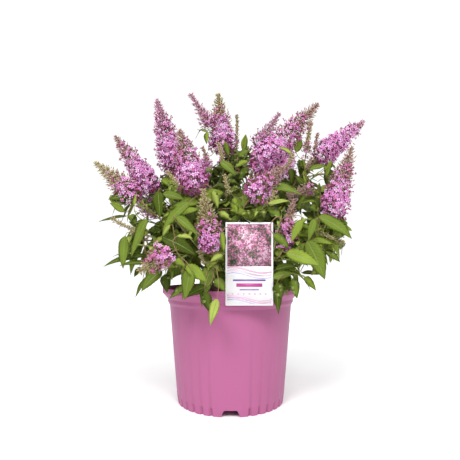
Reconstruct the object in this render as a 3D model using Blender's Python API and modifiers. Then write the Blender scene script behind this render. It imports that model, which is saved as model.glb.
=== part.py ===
"""Potted butterfly bush: a fluted nursery pot of potting mix, seven short main stems, a bough to each
of seventeen masses of foliage and blossom, and a plain label hung on a front shoot.
Metres, +Z up, standing on the pot's foot at z = 0. The front is towards -Y."""

import math
import random

import bmesh
import bpy
import numpy as np
from mathutils import Matrix, Vector

NAME = "potted_butterfly_bush"
UP = Vector((0, 0, 1))
TOUCH_GAP = 0.0003  # clearance left between neighbouring pieces
LEAD = 0.004  # a limb runs straight on this far from the end that it meets, so that the flat ends lie parallel

# Pot
POT_STEPS = 64
POT_WALL = 0.002
FOOT_RADIUS = 0.1083
FOOT_RING_WIDTH = 0.005
FOOT_TOP = (0.1106, 0.015)  # radius, height
FLUTE_DEPTH = 0.0022
FLOOR_BOTTOM = 0.014
FLOOR_TOP = 0.0165
WALL_TOP = (0.1254, 0.199)
BAND_RADIUS = 0.1292
BAND_BOTTOM = 0.2055
BAND_TOP = 0.2115
LIP_RADIUS = 0.140
LIP_BOTTOM = 0.223
LIP_TOP = 0.2345
LIP_THICK = 0.0028
LIP_ROUND = 0.0012
NOTCHES = 4
NOTCH_WIDTH = 0.038
NOTCH_TOP_WIDTH = 0.023
NOTCH_HEIGHT = 0.0132

# Potting mix
SOIL_TOP = 0.204
SOIL_FLAT_RADIUS = 0.065
SOIL_EDGE_DROP = 0.0065

# Main stems, each a short tapering trunk with a flare at its foot
STEM_RING = 0.034
STEM_LEAN = 0.30  # sideways travel for each unit of height
STEM_HEIGHT = 0.046
STEM_BASE_RADIUS = 0.0078
STEM_NECK_RADIUS = 0.0050
STEM_TIP_RADIUS = 0.0040
STEM_SIDES = 8
FORK_STEP = 0.012  # the side boughs leave the stem this far below each other
FORK_GAP = 0.0004  # between a stem's side and the edge of a bough's flat end
FORK_DEGREES = 53  # how far a side bough turns away from its stem

# Boughs
BOUGH_RADIUS = 0.0031
BOUGH_TIP_RADIUS = 0.0023
BOUGH_SIDES = 6
BOUGH_SHARE = 0.22  # how far along the way from stem to flower a bough ends and its mass begins
BOUGH_LIFT = 0.008  # how far its tip rises above the straight way
BOUGH_STEEPENS = 0.35  # and how much more steeply it then points

# Shoots of a mass
SHOOT_RADIUS = 0.0021
SHOOT_TIP_RADIUS = 0.0012
SIDE_SHOOT_RADIUS = 0.0016
TWIG_SIDES = 3
LEAFY_SHOOTS = 4
LEAFY_LENGTH = (0.065, 0.115)
LEAFY_RISE = (-12, 50)  # degrees above level
LEAFY_SWING = 75  # degrees to either side of straight outwards
LEAFY_TRIES = 16

# Leaves
LEAF_LENGTH_LOW = 0.104
LEAF_LENGTH_HIGH = 0.058
LEAF_WIDTH_SHARE = 0.40
LEAF_THICK = 0.0016
LEAF_ROOT = 0.0002  # how far a leaf's root runs past the axis of its twig
LEAF_NODE_GAP = 0.030
LEAF_CLEAR = 0.0055  # leaves of one mass keep this far apart, beyond their roots
LEAF_TRIES = (1.0, 1.0, 1.0, 0.84, 0.84, 0.84, 0.70, 0.70, 0.70)  # sizes tried in turn, then the leaf is skipped
LEAF_SWING = 0.60  # how far, in radians, a leaf turns about its twig to find room
LEAF_TILT = 0.45  # how far, in radians, a leaf rolls about its midrib
LEAF_WAIST = 0.42  # where along its length a leaf is widest
WAIST_SAG = 0.10  # drop of the waist and of the tip of a hanging leaf, in leaf lengths
TIP_SAG = 0.62
TIP_DRAWN_IN = 0.25

# Flower heads
HEAD_SIDES = 6
HEAD_RINGS = 7
HEAD_LUMP = 0.10  # every second ring stands this much proud, and the others are drawn in by the next value
HEAD_DIP = 0.06
SUNK_IN_HEAD = 0.35  # how far up its flower head a shoot runs

# How far out leaves reach at each height, as (height, reach)
LEAF_REACH = ((0.17, 0.185), (0.24, 0.195), (0.32, 0.242), (0.48, 0.258), (0.60, 0.150))

# Room kept between the masses, and from each mass to the limbs, the pot and the label
SPACE_MARGIN = 0.0009
LIMB_MARGIN = 0.0012
POT_MARGIN = 0.0018
LABEL_MARGIN = 0.003

# Label: a card with a strap loop at its top, against the front of the lip
LABEL_WIDTH = 0.084
LABEL_HEIGHT = 0.147
LABEL_THICK = 0.0009
LABEL_LEFT = -0.0090
LABEL_BOTTOM = 0.2095
LABEL_CORNER = 0.0015
NICK_WIDTH = 0.006
NICK_DEPTH = 0.003
STRAP_RADIUS = 0.0009
STRAP_HALF_WIDTH = 0.0060
STRAP_FOOT_DEPTH = 0.003
HUNG_ON = "front_centre"  # the mass whose first shoot carries the label
HUNG_SHARE = 0.66  # how far along that shoot

# The main stems by name and by their bearing round the pot, in degrees from +X. The last is the middle one.
STEMS = {
    "right": 0,
    "back_right": 60,
    "back_left": 120,
    "left": 180,
    "front_left": 238,
    "front_right": 300,
    "middle": None,
}

# Flower heads that show from the front: the stem, the mass, then each head's tip, foot, widest radius and stage.
# A stage is the share of the head that is open flower, from its foot up.
HEADS = (
    ("left", "left", (-0.277, -0.020, 0.490), (-0.185, -0.040, 0.412), 0.025, 0.62),
    ("left", "left", (-0.229, -0.072, 0.370), (-0.180, -0.068, 0.343), 0.006, 0.0),
    ("left", "upper_left", (-0.247, 0.020, 0.555), (-0.162, 0.000, 0.436), 0.029, 0.85),
    ("front_left", "lower_left", (-0.152, -0.188, 0.270), (-0.108, -0.150, 0.302), 0.023, 0.55),
    ("front_left", "front_left", (-0.049, -0.140, 0.415), (-0.031, -0.148, 0.305), 0.022, 0.55),
    ("front_left", "inner_left", (-0.099, -0.060, 0.545), (-0.066, -0.075, 0.420), 0.034, 0.72),
    ("left", "upper_left", (-0.162, 0.045, 0.643), (-0.118, 0.022, 0.480), 0.029, 0.90),
    ("middle", "top", (-0.027, 0.045, 0.656), (-0.016, 0.030, 0.520), 0.034, 0.75),
    ("middle", "top", (-0.085, 0.015, 0.643), (-0.040, 0.012, 0.570), 0.012, 0.70),
    ("middle", "top", (0.015, 0.085, 0.622), (0.014, 0.078, 0.545), 0.006, 0.0),
    ("middle", "top", (0.115, 0.110, 0.634), (0.058, 0.088, 0.545), 0.017, 0.35),
    ("front_right", "front_centre", (0.100, -0.108, 0.462), (0.036, -0.118, 0.402), 0.028, 0.50),
    ("front_right", "front_right", (0.114, -0.122, 0.400), (0.094, -0.136, 0.312), 0.016, 0.45),
    ("right", "lower_right", (0.211, -0.100, 0.322), (0.172, -0.088, 0.340), 0.008, 0.0),
    ("right", "right", (0.243, -0.040, 0.516), (0.194, -0.060, 0.372), 0.031, 0.62),
    ("right", "right", (0.108, -0.082, 0.412), (0.160, -0.060, 0.430), 0.011, 0.10),
    ("right", "upper_right", (0.285, 0.020, 0.587), (0.182, 0.005, 0.500), 0.024, 0.85),
    ("right", "upper_right", (0.182, 0.075, 0.605), (0.168, 0.065, 0.520), 0.009, 0.20),
    ("front_right", "top_right", (0.179, -0.020, 0.609), (0.048, -0.040, 0.470), 0.036, 0.66),
)

# Masses of the hidden side, each with one high and one low head, at even bearings
BACK_STEMS = ("back_right", "back_right", "middle", "back_left", "left")
BACK_BEARINGS = (44, 68, 94, 121, 148)
BACK_HIGH = (0.150, 0.470, 0.190, 0.575)  # foot reach and height, tip reach and height
BACK_LOW = (0.170, 0.375, 0.238, 0.440)
BACK_RADIUS = (0.031, 0.026)
BACK_STAGE = 0.7

# Each mass draws its leaves from its own seed. One whose first draw crossed leaves at a hair's breadth has another.
FIRST_SEED = 100
REDRAWN = {"upper_right": 141}

POT_PINK = (0.565, 0.162, 0.352, 1)
SOIL_BROWN = (0.045, 0.028, 0.018, 1)
STEM_BROWN = (0.165, 0.092, 0.048, 1)
TWIG_TAN = (0.30, 0.22, 0.10, 1)
LEAF_GREEN = (0.120, 0.235, 0.030, 1)
FLOWER_PINK = (0.560, 0.175, 0.440, 1)
LABEL_WHITE = (0.86, 0.84, 0.86, 1)


def clear_scene():
    for thing in list(bpy.data.objects):
        bpy.data.objects.remove(thing, do_unlink=True)


def make_collection(name):
    made = bpy.data.collections.new(name)
    bpy.context.scene.collection.children.link(made)
    return made


def material(name, color, roughness, metallic=0.0):
    made = bpy.data.materials.new(name)
    made.use_nodes = True
    shader = made.node_tree.nodes["Principled BSDF"]
    shader.inputs["Base Color"].default_value = color
    shader.inputs["Roughness"].default_value = roughness
    shader.inputs["Metallic"].default_value = metallic
    made.diffuse_color = color
    return made


def add_object(name, mesh, where, finish):
    made = bpy.data.objects.new(name, mesh)
    mesh.materials.append(finish)
    where.objects.link(made)
    return made


def mesh_of(form, name):
    bmesh.ops.recalc_face_normals(form, faces=form.faces)
    if form.calc_volume(signed=True) < 0:
        bmesh.ops.reverse_faces(form, faces=form.faces)
    mesh = bpy.data.meshes.new(name)
    form.to_mesh(mesh)
    form.free()
    return mesh


def applied(thing):
    """The object with its modifiers worked into its mesh."""
    bpy.context.view_layer.update()
    graph = bpy.context.evaluated_depsgraph_get()
    mesh = bpy.data.meshes.new_from_object(thing.evaluated_get(graph))
    thing.modifiers.clear()
    thing.data = mesh
    return thing


# Curved paths and limbs


def bend(start, start_way, end, end_way, count):
    """Points on a smooth bow from start to end that leaves and arrives along the two directions."""
    reach = (end - start).length * 0.38
    pull = start + start_way.normalized() * reach
    push = end - end_way.normalized() * reach
    points = []
    for step in range(count):
        t = step / (count - 1)
        s = 1 - t
        points.append(s ** 3 * start + 3 * s * s * t * pull + 3 * s * t * t * push + t ** 3 * end)
    return points


def bend_on(start, way, end, end_way, count):
    """A bow that begins with a short straight lead."""
    return [start] + bend(start + way * LEAD, way, end, end_way, count - 1)


def taper(base, tip, count):
    return [base + (tip - base) * step / (count - 1) for step in range(count)]


def way_at(points, share):
    """Place and direction at a share of the way along a path."""
    lengths = [(b - a).length for a, b in zip(points, points[1:])]
    left = share * sum(lengths)
    for a, b, length in zip(points, points[1:], lengths):
        if left <= length:
            return a.lerp(b, left / length), (b - a).normalized()
        left -= length
    return points[-1].copy(), (points[-1] - points[-2]).normalized()


def radius_at(points, radii, share):
    """The radius at a share of the way along a tapering path."""
    places = np.cumsum([0] + [(b - a).length for a, b in zip(points, points[1:])])
    return float(np.interp(share * places[-1], places, radii))


def path_length(points):
    return sum((b - a).length for a, b in zip(points, points[1:]))


def section(sides):
    """A hidden ring of unit radius that gives a limb its cross-section."""
    curve = bpy.data.curves.new(f"section_{sides}", "CURVE")
    curve.dimensions = "2D"
    spline = curve.splines.new("POLY")
    spline.points.add(sides - 1)
    for index, point in enumerate(spline.points):
        angle = 2 * math.pi * index / sides
        point.co = (math.cos(angle), math.sin(angle), 0, 1)
    spline.use_cyclic_u = True
    ring = bpy.data.objects.new(curve.name, curve)
    ring.hide_render = True
    ring.display_type = "WIRE"
    guides.objects.link(ring)
    return ring


def limb(name, points, radii, sides, where, finish):
    """One tapering limb along a path, with flat cut ends."""
    curve = bpy.data.curves.new(name, "CURVE")
    curve.dimensions = "3D"
    curve.bevel_mode = "OBJECT"
    curve.bevel_object = sections[sides]
    curve.use_fill_caps = True
    spline = curve.splines.new("POLY")
    spline.points.add(len(points) - 1)
    for point, place, radius in zip(spline.points, points, radii):
        point.co = (*place, 1)
        point.radius = radius
    rail = bpy.data.objects.new(name + "_rail", curve)
    where.objects.link(rail)
    bpy.context.view_layer.update()
    graph = bpy.context.evaluated_depsgraph_get()
    form = bmesh.new()
    form.from_mesh(bpy.data.meshes.new_from_object(rail.evaluated_get(graph)))
    bpy.data.objects.remove(rail, do_unlink=True)
    bmesh.ops.remove_doubles(form, verts=form.verts, dist=1e-6)
    return add_object(name, mesh_of(form, name), where, finish)


# The pot, the potting mix and the label


def pot_profile():
    """Radius and height from the middle of the floor, up the inside, over the lip and down the outside."""
    floor_radius = FOOT_TOP[0] - POT_WALL
    return (
        (0, FLOOR_TOP),
        (floor_radius, FLOOR_TOP),
        (WALL_TOP[0] - POT_WALL, WALL_TOP[1]),
        (BAND_RADIUS - POT_WALL, BAND_TOP + LIP_ROUND),
        (LIP_RADIUS - LIP_THICK, LIP_BOTTOM + LIP_ROUND),
        (LIP_RADIUS - LIP_THICK, LIP_TOP - LIP_ROUND / 2),
        (LIP_RADIUS - LIP_ROUND, LIP_TOP),
        (LIP_RADIUS, LIP_TOP - LIP_ROUND),
        (LIP_RADIUS, LIP_BOTTOM),
        (BAND_RADIUS, BAND_TOP),
        (BAND_RADIUS, BAND_BOTTOM),
        WALL_TOP,
        FOOT_TOP,
        (FOOT_RADIUS, 0),
        (FOOT_RADIUS - FOOT_RING_WIDTH, 0),
        (FOOT_RADIUS - FOOT_RING_WIDTH, FLOOR_BOTTOM),
        (0, FLOOR_BOTTOM),
    )


def turned(name, profile, steps, where, finish):
    """A profile of (radius, height) turned round the Z axis."""
    form = bmesh.new()
    row = [form.verts.new((radius, 0, height)) for radius, height in profile]
    for a, b in zip(row, row[1:]):
        form.edges.new((a, b))
    mesh = bpy.data.meshes.new(name)
    form.to_mesh(mesh)
    form.free()
    made = add_object(name, mesh, where, finish)
    screw = made.modifiers.new("Turn", "SCREW")
    screw.axis = "Z"
    screw.steps = steps
    screw.render_steps = steps
    screw.use_merge_vertices = True
    screw.merge_threshold = 0.00005
    return applied(made)


def bearing(x, y):
    return math.degrees(math.atan2(y, x)) % 360


def make_pot():
    pot = turned("pot", pot_profile(), POT_STEPS, parts, material("pot pink", POT_PINK, 0.42))
    step = 360 / POT_STEPS
    for vertex in pot.data.vertices:
        x, y, z = vertex.co
        at_foot = z < 1e-5 and math.hypot(x, y) > FOOT_RADIUS - 1e-4
        if at_foot and round(bearing(x, y) / step) % 2:
            vertex.co = Vector((x, y, z)) * (1 - FLUTE_DEPTH / FOOT_RADIUS)
    for number in range(NOTCHES):
        cut_notch(pot, number)
    applied(pot)
    pot.data.set_sharp_from_angle(angle=math.radians(35))
    return pot


def cut_notch(pot, number):
    """A drainage notch through the foot ring, narrower at its top."""
    form = bmesh.new()
    bmesh.ops.create_cube(form, size=1)
    for vertex in form.verts:
        top = vertex.co.z > 0
        width = NOTCH_TOP_WIDTH if top else NOTCH_WIDTH
        vertex.co.x *= width
        vertex.co.y = -FOOT_RADIUS + vertex.co.y * 4 * FOOT_RING_WIDTH
        vertex.co.z = NOTCH_HEIGHT if top else -NOTCH_HEIGHT
    bmesh.ops.rotate(form, verts=form.verts, matrix=Matrix.Rotation(number * math.tau / NOTCHES, 3, "Z"))
    notch = bpy.data.objects.new(f"notch_{number + 1}", mesh_of(form, f"notch_{number + 1}"))
    notch.hide_render = True
    notch.display_type = "WIRE"
    guides.objects.link(notch)
    cut = pot.modifiers.new(f"Notch {number + 1}", "BOOLEAN")
    cut.operation = "DIFFERENCE"
    cut.solver = "EXACT"
    cut.object = notch


def pot_inside_radius(height):
    """Radius of the pot's inner face, along its straight wall."""
    low = (FOOT_TOP[0] - POT_WALL, FLOOR_TOP)
    high = (WALL_TOP[0] - POT_WALL, WALL_TOP[1])
    return low[0] + (high[0] - low[0]) * (height - low[1]) / (high[1] - low[1])


def make_soil():
    edge = SOIL_TOP - SOIL_EDGE_DROP
    bottom = FLOOR_TOP + TOUCH_GAP
    profile = (
        (0, SOIL_TOP),
        (SOIL_FLAT_RADIUS, SOIL_TOP),
        (pot_inside_radius(edge) - TOUCH_GAP, edge),
        (pot_inside_radius(bottom) - TOUCH_GAP, bottom),
        (0, bottom),
    )
    return turned("potting_mix", profile, POT_STEPS, parts, material("potting mix", SOIL_BROWN, 0.95))


def label_outline():
    """Corners of the card in its own plane, with the nick at the middle of its top edge."""
    right = LABEL_LEFT + LABEL_WIDTH
    top = LABEL_BOTTOM + LABEL_HEIGHT
    middle = LABEL_LEFT + LABEL_WIDTH / 2
    points = []
    for x, z, start in (
        (LABEL_LEFT + LABEL_CORNER, LABEL_BOTTOM + LABEL_CORNER, 180),
        (right - LABEL_CORNER, LABEL_BOTTOM + LABEL_CORNER, 270),
        (right - LABEL_CORNER, top - LABEL_CORNER, 0),
        (LABEL_LEFT + LABEL_CORNER, top - LABEL_CORNER, 90),
    ):
        for turn in (0, 45, 90):
            angle = math.radians(start + turn)
            points.append((x + LABEL_CORNER * math.cos(angle), z + LABEL_CORNER * math.sin(angle)))
        if start == 0:
            points += [
                (middle + NICK_WIDTH / 2, top),
                (middle, top - NICK_DEPTH),
                (middle - NICK_WIDTH / 2, top),
            ]
    return points


def strap_path(hang_place):
    """Up one side of the strap, over the shoot that it hangs on and down the other, its feet sunk in the card."""
    foot_height = LABEL_BOTTOM + LABEL_HEIGHT - STRAP_FOOT_DEPTH - NICK_DEPTH
    front = -LIP_RADIUS - TOUCH_GAP - LABEL_THICK / 2
    foot = Vector((LABEL_LEFT + LABEL_WIDTH / 2, front, foot_height))
    lean = (hang_place - foot).normalized()
    side = lean.cross(Vector((0, 1, 0))).normalized() * STRAP_HALF_WIDTH
    top = hang_place + lean * (SHOOT_RADIUS + STRAP_RADIUS + TOUCH_GAP)
    rise = top - foot - lean * STRAP_HALF_WIDTH
    arch_middle = foot + rise
    points = [foot - side, foot - side + rise * 0.5]
    for turn in range(7):
        angle = math.pi * (1 - turn / 6)
        points.append(arch_middle + side * math.cos(angle) + lean * STRAP_HALF_WIDTH * math.sin(angle))
    points += [foot + side + rise * 0.5, foot + side]
    return points


def make_label(strap):
    finish = material("label white", LABEL_WHITE, 0.35)
    curve = bpy.data.curves.new("card", "CURVE")
    curve.dimensions = "2D"
    curve.fill_mode = "BOTH"
    curve.extrude = LABEL_THICK / 2
    spline = curve.splines.new("POLY")
    outline = label_outline()
    spline.points.add(len(outline) - 1)
    for point, (x, z) in zip(spline.points, outline):
        point.co = (x, z, 0, 1)
    spline.use_cyclic_u = True
    flat = bpy.data.objects.new("card", curve)
    parts.objects.link(flat)
    bpy.context.view_layer.update()
    form = bmesh.new()
    form.from_mesh(bpy.data.meshes.new_from_object(flat.evaluated_get(bpy.context.evaluated_depsgraph_get())))
    bpy.data.objects.remove(flat, do_unlink=True)
    bmesh.ops.remove_doubles(form, verts=form.verts, dist=1e-6)
    stand = Matrix.Rotation(math.radians(90), 4, "X")
    back = Matrix.Translation((0, -LIP_RADIUS - TOUCH_GAP - LABEL_THICK / 2, 0))
    bmesh.ops.transform(form, verts=form.verts, matrix=back @ stand)
    label = add_object("plant_label", mesh_of(form, "plant_label"), parts, finish)
    limb("strap", strap, [STRAP_RADIUS] * len(strap), BOUGH_SIDES, growing, finish)
    return fuse(label)


# The plant's frame of stems, boughs and shoots


class Shoot:
    """One shoot: its path, its radius at the foot and tip, and the flower head that it may carry."""

    def __init__(self, path, radius, head=None):
        self.path = path
        self.radius = radius
        self.head = head


class Head:
    """A flower head from foot to tip, its widest radius, and the share of it that is open flower."""

    def __init__(self, tip, foot, radius, stage):
        self.tip = Vector(tip)
        self.foot = Vector(foot)
        self.radius = radius
        self.stage = stage

    def axis(self):
        return (self.tip - self.foot).normalized()

    def length(self):
        return (self.tip - self.foot).length

    def outline(self, share):
        """Radius at a share of the way from foot to tip: full low down, then narrowing to a slim tip."""
        rise = min(1.0, (share + 0.05) / 0.17)
        fall = (1 - share) ** 0.72
        return self.radius * (0.20 + 0.80 * rise) * (0.16 + 0.84 * fall) if share < 1 else 0.0


def on_bearing(degrees, reach, height):
    angle = math.radians(degrees)
    return Vector((reach * math.cos(angle), reach * math.sin(angle), height))


def stem_radii(path):
    radii = taper(STEM_NECK_RADIUS, STEM_TIP_RADIUS, len(path))
    radii[0] = STEM_BASE_RADIUS
    return radii


def middle_radius(radius, sides):
    """Halfway between the corners and the flats of a limb with this many sides."""
    return radius * (1 + math.cos(math.pi / sides)) / 2


def stem_paths():
    """Each main stem's path from its flat cut on the potting mix to its fork."""
    draw = random.Random(5)
    paths = {}
    for name, degrees in STEMS.items():
        reach = STEM_RING if degrees is not None else 0.0
        degrees = degrees or 0
        foot = on_bearing(degrees, reach * draw.uniform(0.9, 1.1), SOIL_TOP + TOUCH_GAP)
        lean = STEM_LEAN if reach else 0.05
        top = foot + on_bearing(degrees, STEM_HEIGHT * lean, STEM_HEIGHT * draw.uniform(0.95, 1.05))
        paths[name] = bend_on(foot, UP, top, top - foot, 6)
    return paths


def head_table():
    """Masses in order: name, stem and heads, those that show first and the hidden side's after them."""
    masses = {}
    for stem, mass, tip, foot, radius, stage in HEADS:
        masses.setdefault(mass, (stem, []))[1].append(Head(tip, foot, radius, stage))
    draw = random.Random(11)
    for number, (stem, degrees) in enumerate(zip(BACK_STEMS, BACK_BEARINGS)):
        heads = []
        for (foot_reach, foot_height, tip_reach, tip_height), radius, turn in (
            (BACK_HIGH, BACK_RADIUS[0], -6),
            (BACK_LOW, BACK_RADIUS[1], 7),
        ):
            angle = degrees + turn + draw.uniform(-3, 3)
            grow = draw.uniform(0.94, 1.05)
            tip = on_bearing(angle + draw.uniform(-4, 4), tip_reach * grow, tip_height * grow)
            foot = on_bearing(angle, foot_reach * grow, foot_height * grow)
            heads.append(Head(tip, foot, radius * draw.uniform(0.85, 1.05), BACK_STAGE))
        masses[f"back_{number + 1}"] = (stem, heads)
    return masses


def bough_start(stem, rank, target):
    """Where a bough leaves its stem: the first goes on from the tip, the rest from its side, lower down."""
    if rank == 0:
        tip, way = way_at(stem, 1.0)
        return tip + way * TOUCH_GAP, way
    share = 1 - rank * FORK_STEP / path_length(stem)
    place, way = way_at(stem, share)
    out = target - place
    out = (out - way * out.dot(way)).normalized()
    slope = math.radians(FORK_DEGREES)
    bough_way = out * math.sin(slope) + way * math.cos(slope)
    stem_radius = middle_radius(radius_at(stem, stem_radii(stem), share), STEM_SIDES)
    bough_radius = middle_radius(BOUGH_RADIUS, BOUGH_SIDES)
    clear = (stem_radius + FORK_GAP + bough_radius * math.cos(slope)) / math.sin(slope)
    return place + bough_way * clear, bough_way


class Frame:
    """The whole plant's limbs, worked out before any leaf, so that each mass's own space is known."""

    def __init__(self):
        self.stems = stem_paths()
        self.boughs = {}
        self.masses = {}
        self.stem_of = {}
        ranks = dict.fromkeys(self.stems, 0)
        table = head_table()
        for mass, (stem, heads) in table.items():
            target = heads[0].foot
            start, way = bough_start(self.stems[stem], ranks[stem], target)
            ranks[stem] += 1
            end = start.lerp(target, BOUGH_SHARE) + UP * BOUGH_LIFT
            end_way = (target - start).normalized() + UP * BOUGH_STEEPENS
            self.boughs[mass] = bend_on(start, way, end, end_way, 5)
            self.stem_of[mass] = stem
            self.masses[mass] = self.main_shoots(self.boughs[mass], heads)
        self.spaces = {mass: capsules(shoots) for mass, shoots in self.masses.items()}
        hang_place, _ = way_at(self.masses[HUNG_ON][0].path, HUNG_SHARE)
        self.strap = strap_path(hang_place)
        self.leaves = {mass: [] for mass in self.masses}
        self.add_leafy_shoots()

    def main_shoots(self, bough, heads):
        """The mass's stem runs on from the bough to its first head, and the other heads branch from it."""
        tip, way = way_at(bough, 1.0)
        first = heads[0]
        path = bend_on(tip + way * TOUCH_GAP, way, first.foot, first.axis(), 7)
        shoots = [Shoot(path, SHOOT_RADIUS, first)]
        for number, head in enumerate(heads[1:]):
            share = nearest_share(path, head.foot, 0.22 + 0.13 * number)
            start, parent_way = way_at(path, share)
            out = (head.foot - start).normalized() * 0.8 + parent_way * 0.6
            side = bend(start, out, head.foot, head.axis(), 5)
            shoots.append(Shoot(side, SIDE_SHOOT_RADIUS, head))
        return shoots

    def add_leafy_shoots(self):
        draw = random.Random(23)
        for mass, shoots in self.masses.items():
            stem_path = shoots[0].path
            for number in range(LEAFY_SHOOTS):
                share = 0.06 + 0.20 * number
                for _ in range(LEAFY_TRIES):
                    path = self.leafy_path(stem_path, share + draw.uniform(-0.03, 0.08), draw)
                    if self.fits(mass, np.array(path[1:]), 0.004):
                        shoots.append(Shoot(path, SIDE_SHOOT_RADIUS))
                        break

    def leafy_path(self, parent, share, draw):
        """A side shoot that leaves its parent low and spreads outwards, level or a little up."""
        start, way = way_at(parent, share)
        degrees = bearing(start.x, start.y) + draw.uniform(-LEAFY_SWING, LEAFY_SWING)
        rise = math.radians(draw.uniform(*LEAFY_RISE))
        flat = on_bearing(degrees, 1, 0)
        out = flat * math.cos(rise) + UP * math.sin(rise)
        length = draw.uniform(*LEAFY_LENGTH)
        return bend(start, (way + flat).normalized(), start + out * length, out, 4)

    def fits(self, mass, points, margin):
        """True where every point lies in the mass's own space and clear of the limbs, pot and label."""
        own = depth(points, self.spaces[mass])
        for other, space in self.spaces.items():
            if other != mass and (depth(points, space) < own + margin + SPACE_MARGIN).any():
                return False
        for path in list(self.boughs.values()) + list(self.stems.values()):
            if (depth(points, limb_capsules(path)) < LIMB_MARGIN + margin / 4).any():
                return False
        reach = np.hypot(points[:, 0], points[:, 1])
        if (reach > np.interp(points[:, 2], *np.transpose(LEAF_REACH))).any():
            return False
        return clear_of_pot(points) and clear_of_label(points, self.strap)

    def free_of_own(self, mass, points):
        """True where a leaf, beyond its root, keeps clear of the mass's other leaves and of its flower heads."""
        for other in self.leaves[mass]:
            gaps = np.linalg.norm(points[:, None, :] - other[None, :, :], axis=2)
            if gaps.min() < LEAF_CLEAR:
                return False
        heads = [shoot.head for shoot in self.masses[mass] if shoot.head]
        return not heads or (depth(points, head_pieces(heads)) > LIMB_MARGIN).all()


def nearest_share(path, place, least):
    """The share along a path from which a side shoot to this place leaves it, forward of the place's foot."""
    shares = [least + step * 0.05 for step in range(9)]
    return min(shares, key=lambda share: abs((way_at(path, share)[0] - place).length - 0.09))


def limb_capsules(path):
    starts = np.array(path[:-1])
    ends = np.array(path[1:])
    return starts, ends, np.full(len(starts), STEM_NECK_RADIUS)


def capsules(shoots):
    """Start, end and radius of the short straight pieces that stand for a mass's shoots and heads."""
    starts = [place for shoot in shoots for place in shoot.path[:-1]]
    ends = [place for shoot in shoots for place in shoot.path[1:]]
    heads = head_pieces([shoot.head for shoot in shoots if shoot.head])
    return (
        np.concatenate([np.array(starts), heads[0]]),
        np.concatenate([np.array(ends), heads[1]]),
        np.concatenate([np.full(len(starts), SHOOT_RADIUS), heads[2]]),
    )


def head_pieces(heads):
    """Start, end and radius of four short pieces for each flower head."""
    steps = [(head, step / 4, (step + 1) / 4) for head in heads for step in range(4)]
    return (
        np.array([head.foot.lerp(head.tip, low) for head, low, _ in steps]),
        np.array([head.foot.lerp(head.tip, high) for head, _, high in steps]),
        np.array([head.outline((low + high) / 2) for head, low, high in steps]),
    )


def depth(points, pieces):
    """Distance from each point to the nearest surface of these round pieces, negative inside one."""
    starts, ends, radii = pieces
    spans = ends - starts
    offsets = points[:, None, :] - starts[None, :, :]
    shares = (offsets * spans).sum(axis=2) / np.maximum((spans * spans).sum(axis=1), 1e-12)
    shares = np.clip(shares, 0, 1)
    gaps = offsets - shares[:, :, None] * spans[None, :, :]
    return (np.linalg.norm(gaps, axis=2) - radii).min(axis=1)


def clear_of_pot(points):
    """True where no point is in the pot's wall, its lip or the potting mix."""
    reach = np.hypot(points[:, 0], points[:, 1])
    height = points[:, 2]
    over_lip = height > LIP_TOP + POT_MARGIN
    outside = reach > LIP_RADIUS + POT_MARGIN
    inside = (reach < BAND_RADIUS - POT_WALL - POT_MARGIN) & (height > SOIL_TOP + POT_MARGIN)
    return bool((over_lip | outside | inside).all())


def clear_of_label(points, strap):
    """True where no point is in the label, in front of it, or in its strap."""
    x, y, z = points.T
    across = (x > LABEL_LEFT - LABEL_MARGIN) & (x < LABEL_LEFT + LABEL_WIDTH + LABEL_MARGIN)
    along = (z > LABEL_BOTTOM - LABEL_MARGIN) & (z < LABEL_BOTTOM + LABEL_HEIGHT + LABEL_MARGIN)
    near = y < -LIP_RADIUS + LABEL_MARGIN
    pieces = (np.array(strap[:-1]), np.array(strap[1:]), np.full(len(strap) - 1, STRAP_RADIUS))
    return not (across & along & near).any() and not (depth(points, pieces) < LABEL_MARGIN).any()


# Leaves and flower heads


def leaf_sides(way, draw):
    """Rightward and upward directions of a leaf that turns its upper side to the sky."""
    right = way.cross(UP)
    if right.length < 0.2:
        right = Vector((1, 0, 0))
    right.normalize()
    right = Matrix.Rotation(draw.uniform(-LEAF_TILT, LEAF_TILT), 3, way) @ right
    return right, right.cross(way).normalized()


def leaf_points(root, way, length, droop, draw):
    """Root, tip, right, left and midrib corners of a leaf that arches over and hangs."""
    right, over = leaf_sides(way, draw)
    waist = root + way * length * LEAF_WAIST - UP * droop * length * WAIST_SAG
    tip = root + way * length * (1 - TIP_DRAWN_IN * droop) - UP * droop * length * TIP_SAG
    half = right * length * LEAF_WIDTH_SHARE / 2
    return root - way * LEAF_ROOT, tip, waist + half, waist - half, waist + over * LEAF_THICK


def leaf_samples(corners):
    """Points on lines from near a leaf's root to its tip, close enough that nothing slips between them."""
    root, tip, right, left, over = corners
    samples = []
    for across in range(-3, 4):
        edge = right if across > 0 else left
        waist = over.lerp(edge, abs(across) / 3)
        samples += [root.lerp(waist, share / 6) for share in range(2, 7)]
        samples += [waist.lerp(tip, share / 10) for share in range(1, 11)]
    return np.array(samples)


def past_root(samples):
    """The samples of a leaf without the first two of each line, which lie by its twig."""
    return samples.reshape(7, -1, 3)[:, 2:].reshape(-1, 3)


def make_leaf(corners, name):
    """A six-faced leaf: a coarse ball of three sides drawn out to the leaf's five corners."""
    root, tip, right, left, over = corners
    form = bmesh.new()
    bmesh.ops.create_uvsphere(form, u_segments=3, v_segments=2, radius=1)
    waist = iter((right, left, over))
    for vertex in form.verts:
        if vertex.co.z > 0.5:
            vertex.co = tip
        elif vertex.co.z < -0.5:
            vertex.co = root
        else:
            vertex.co = next(waist)
    return add_object(name, mesh_of(form, name), growing, leaf_green)


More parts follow.
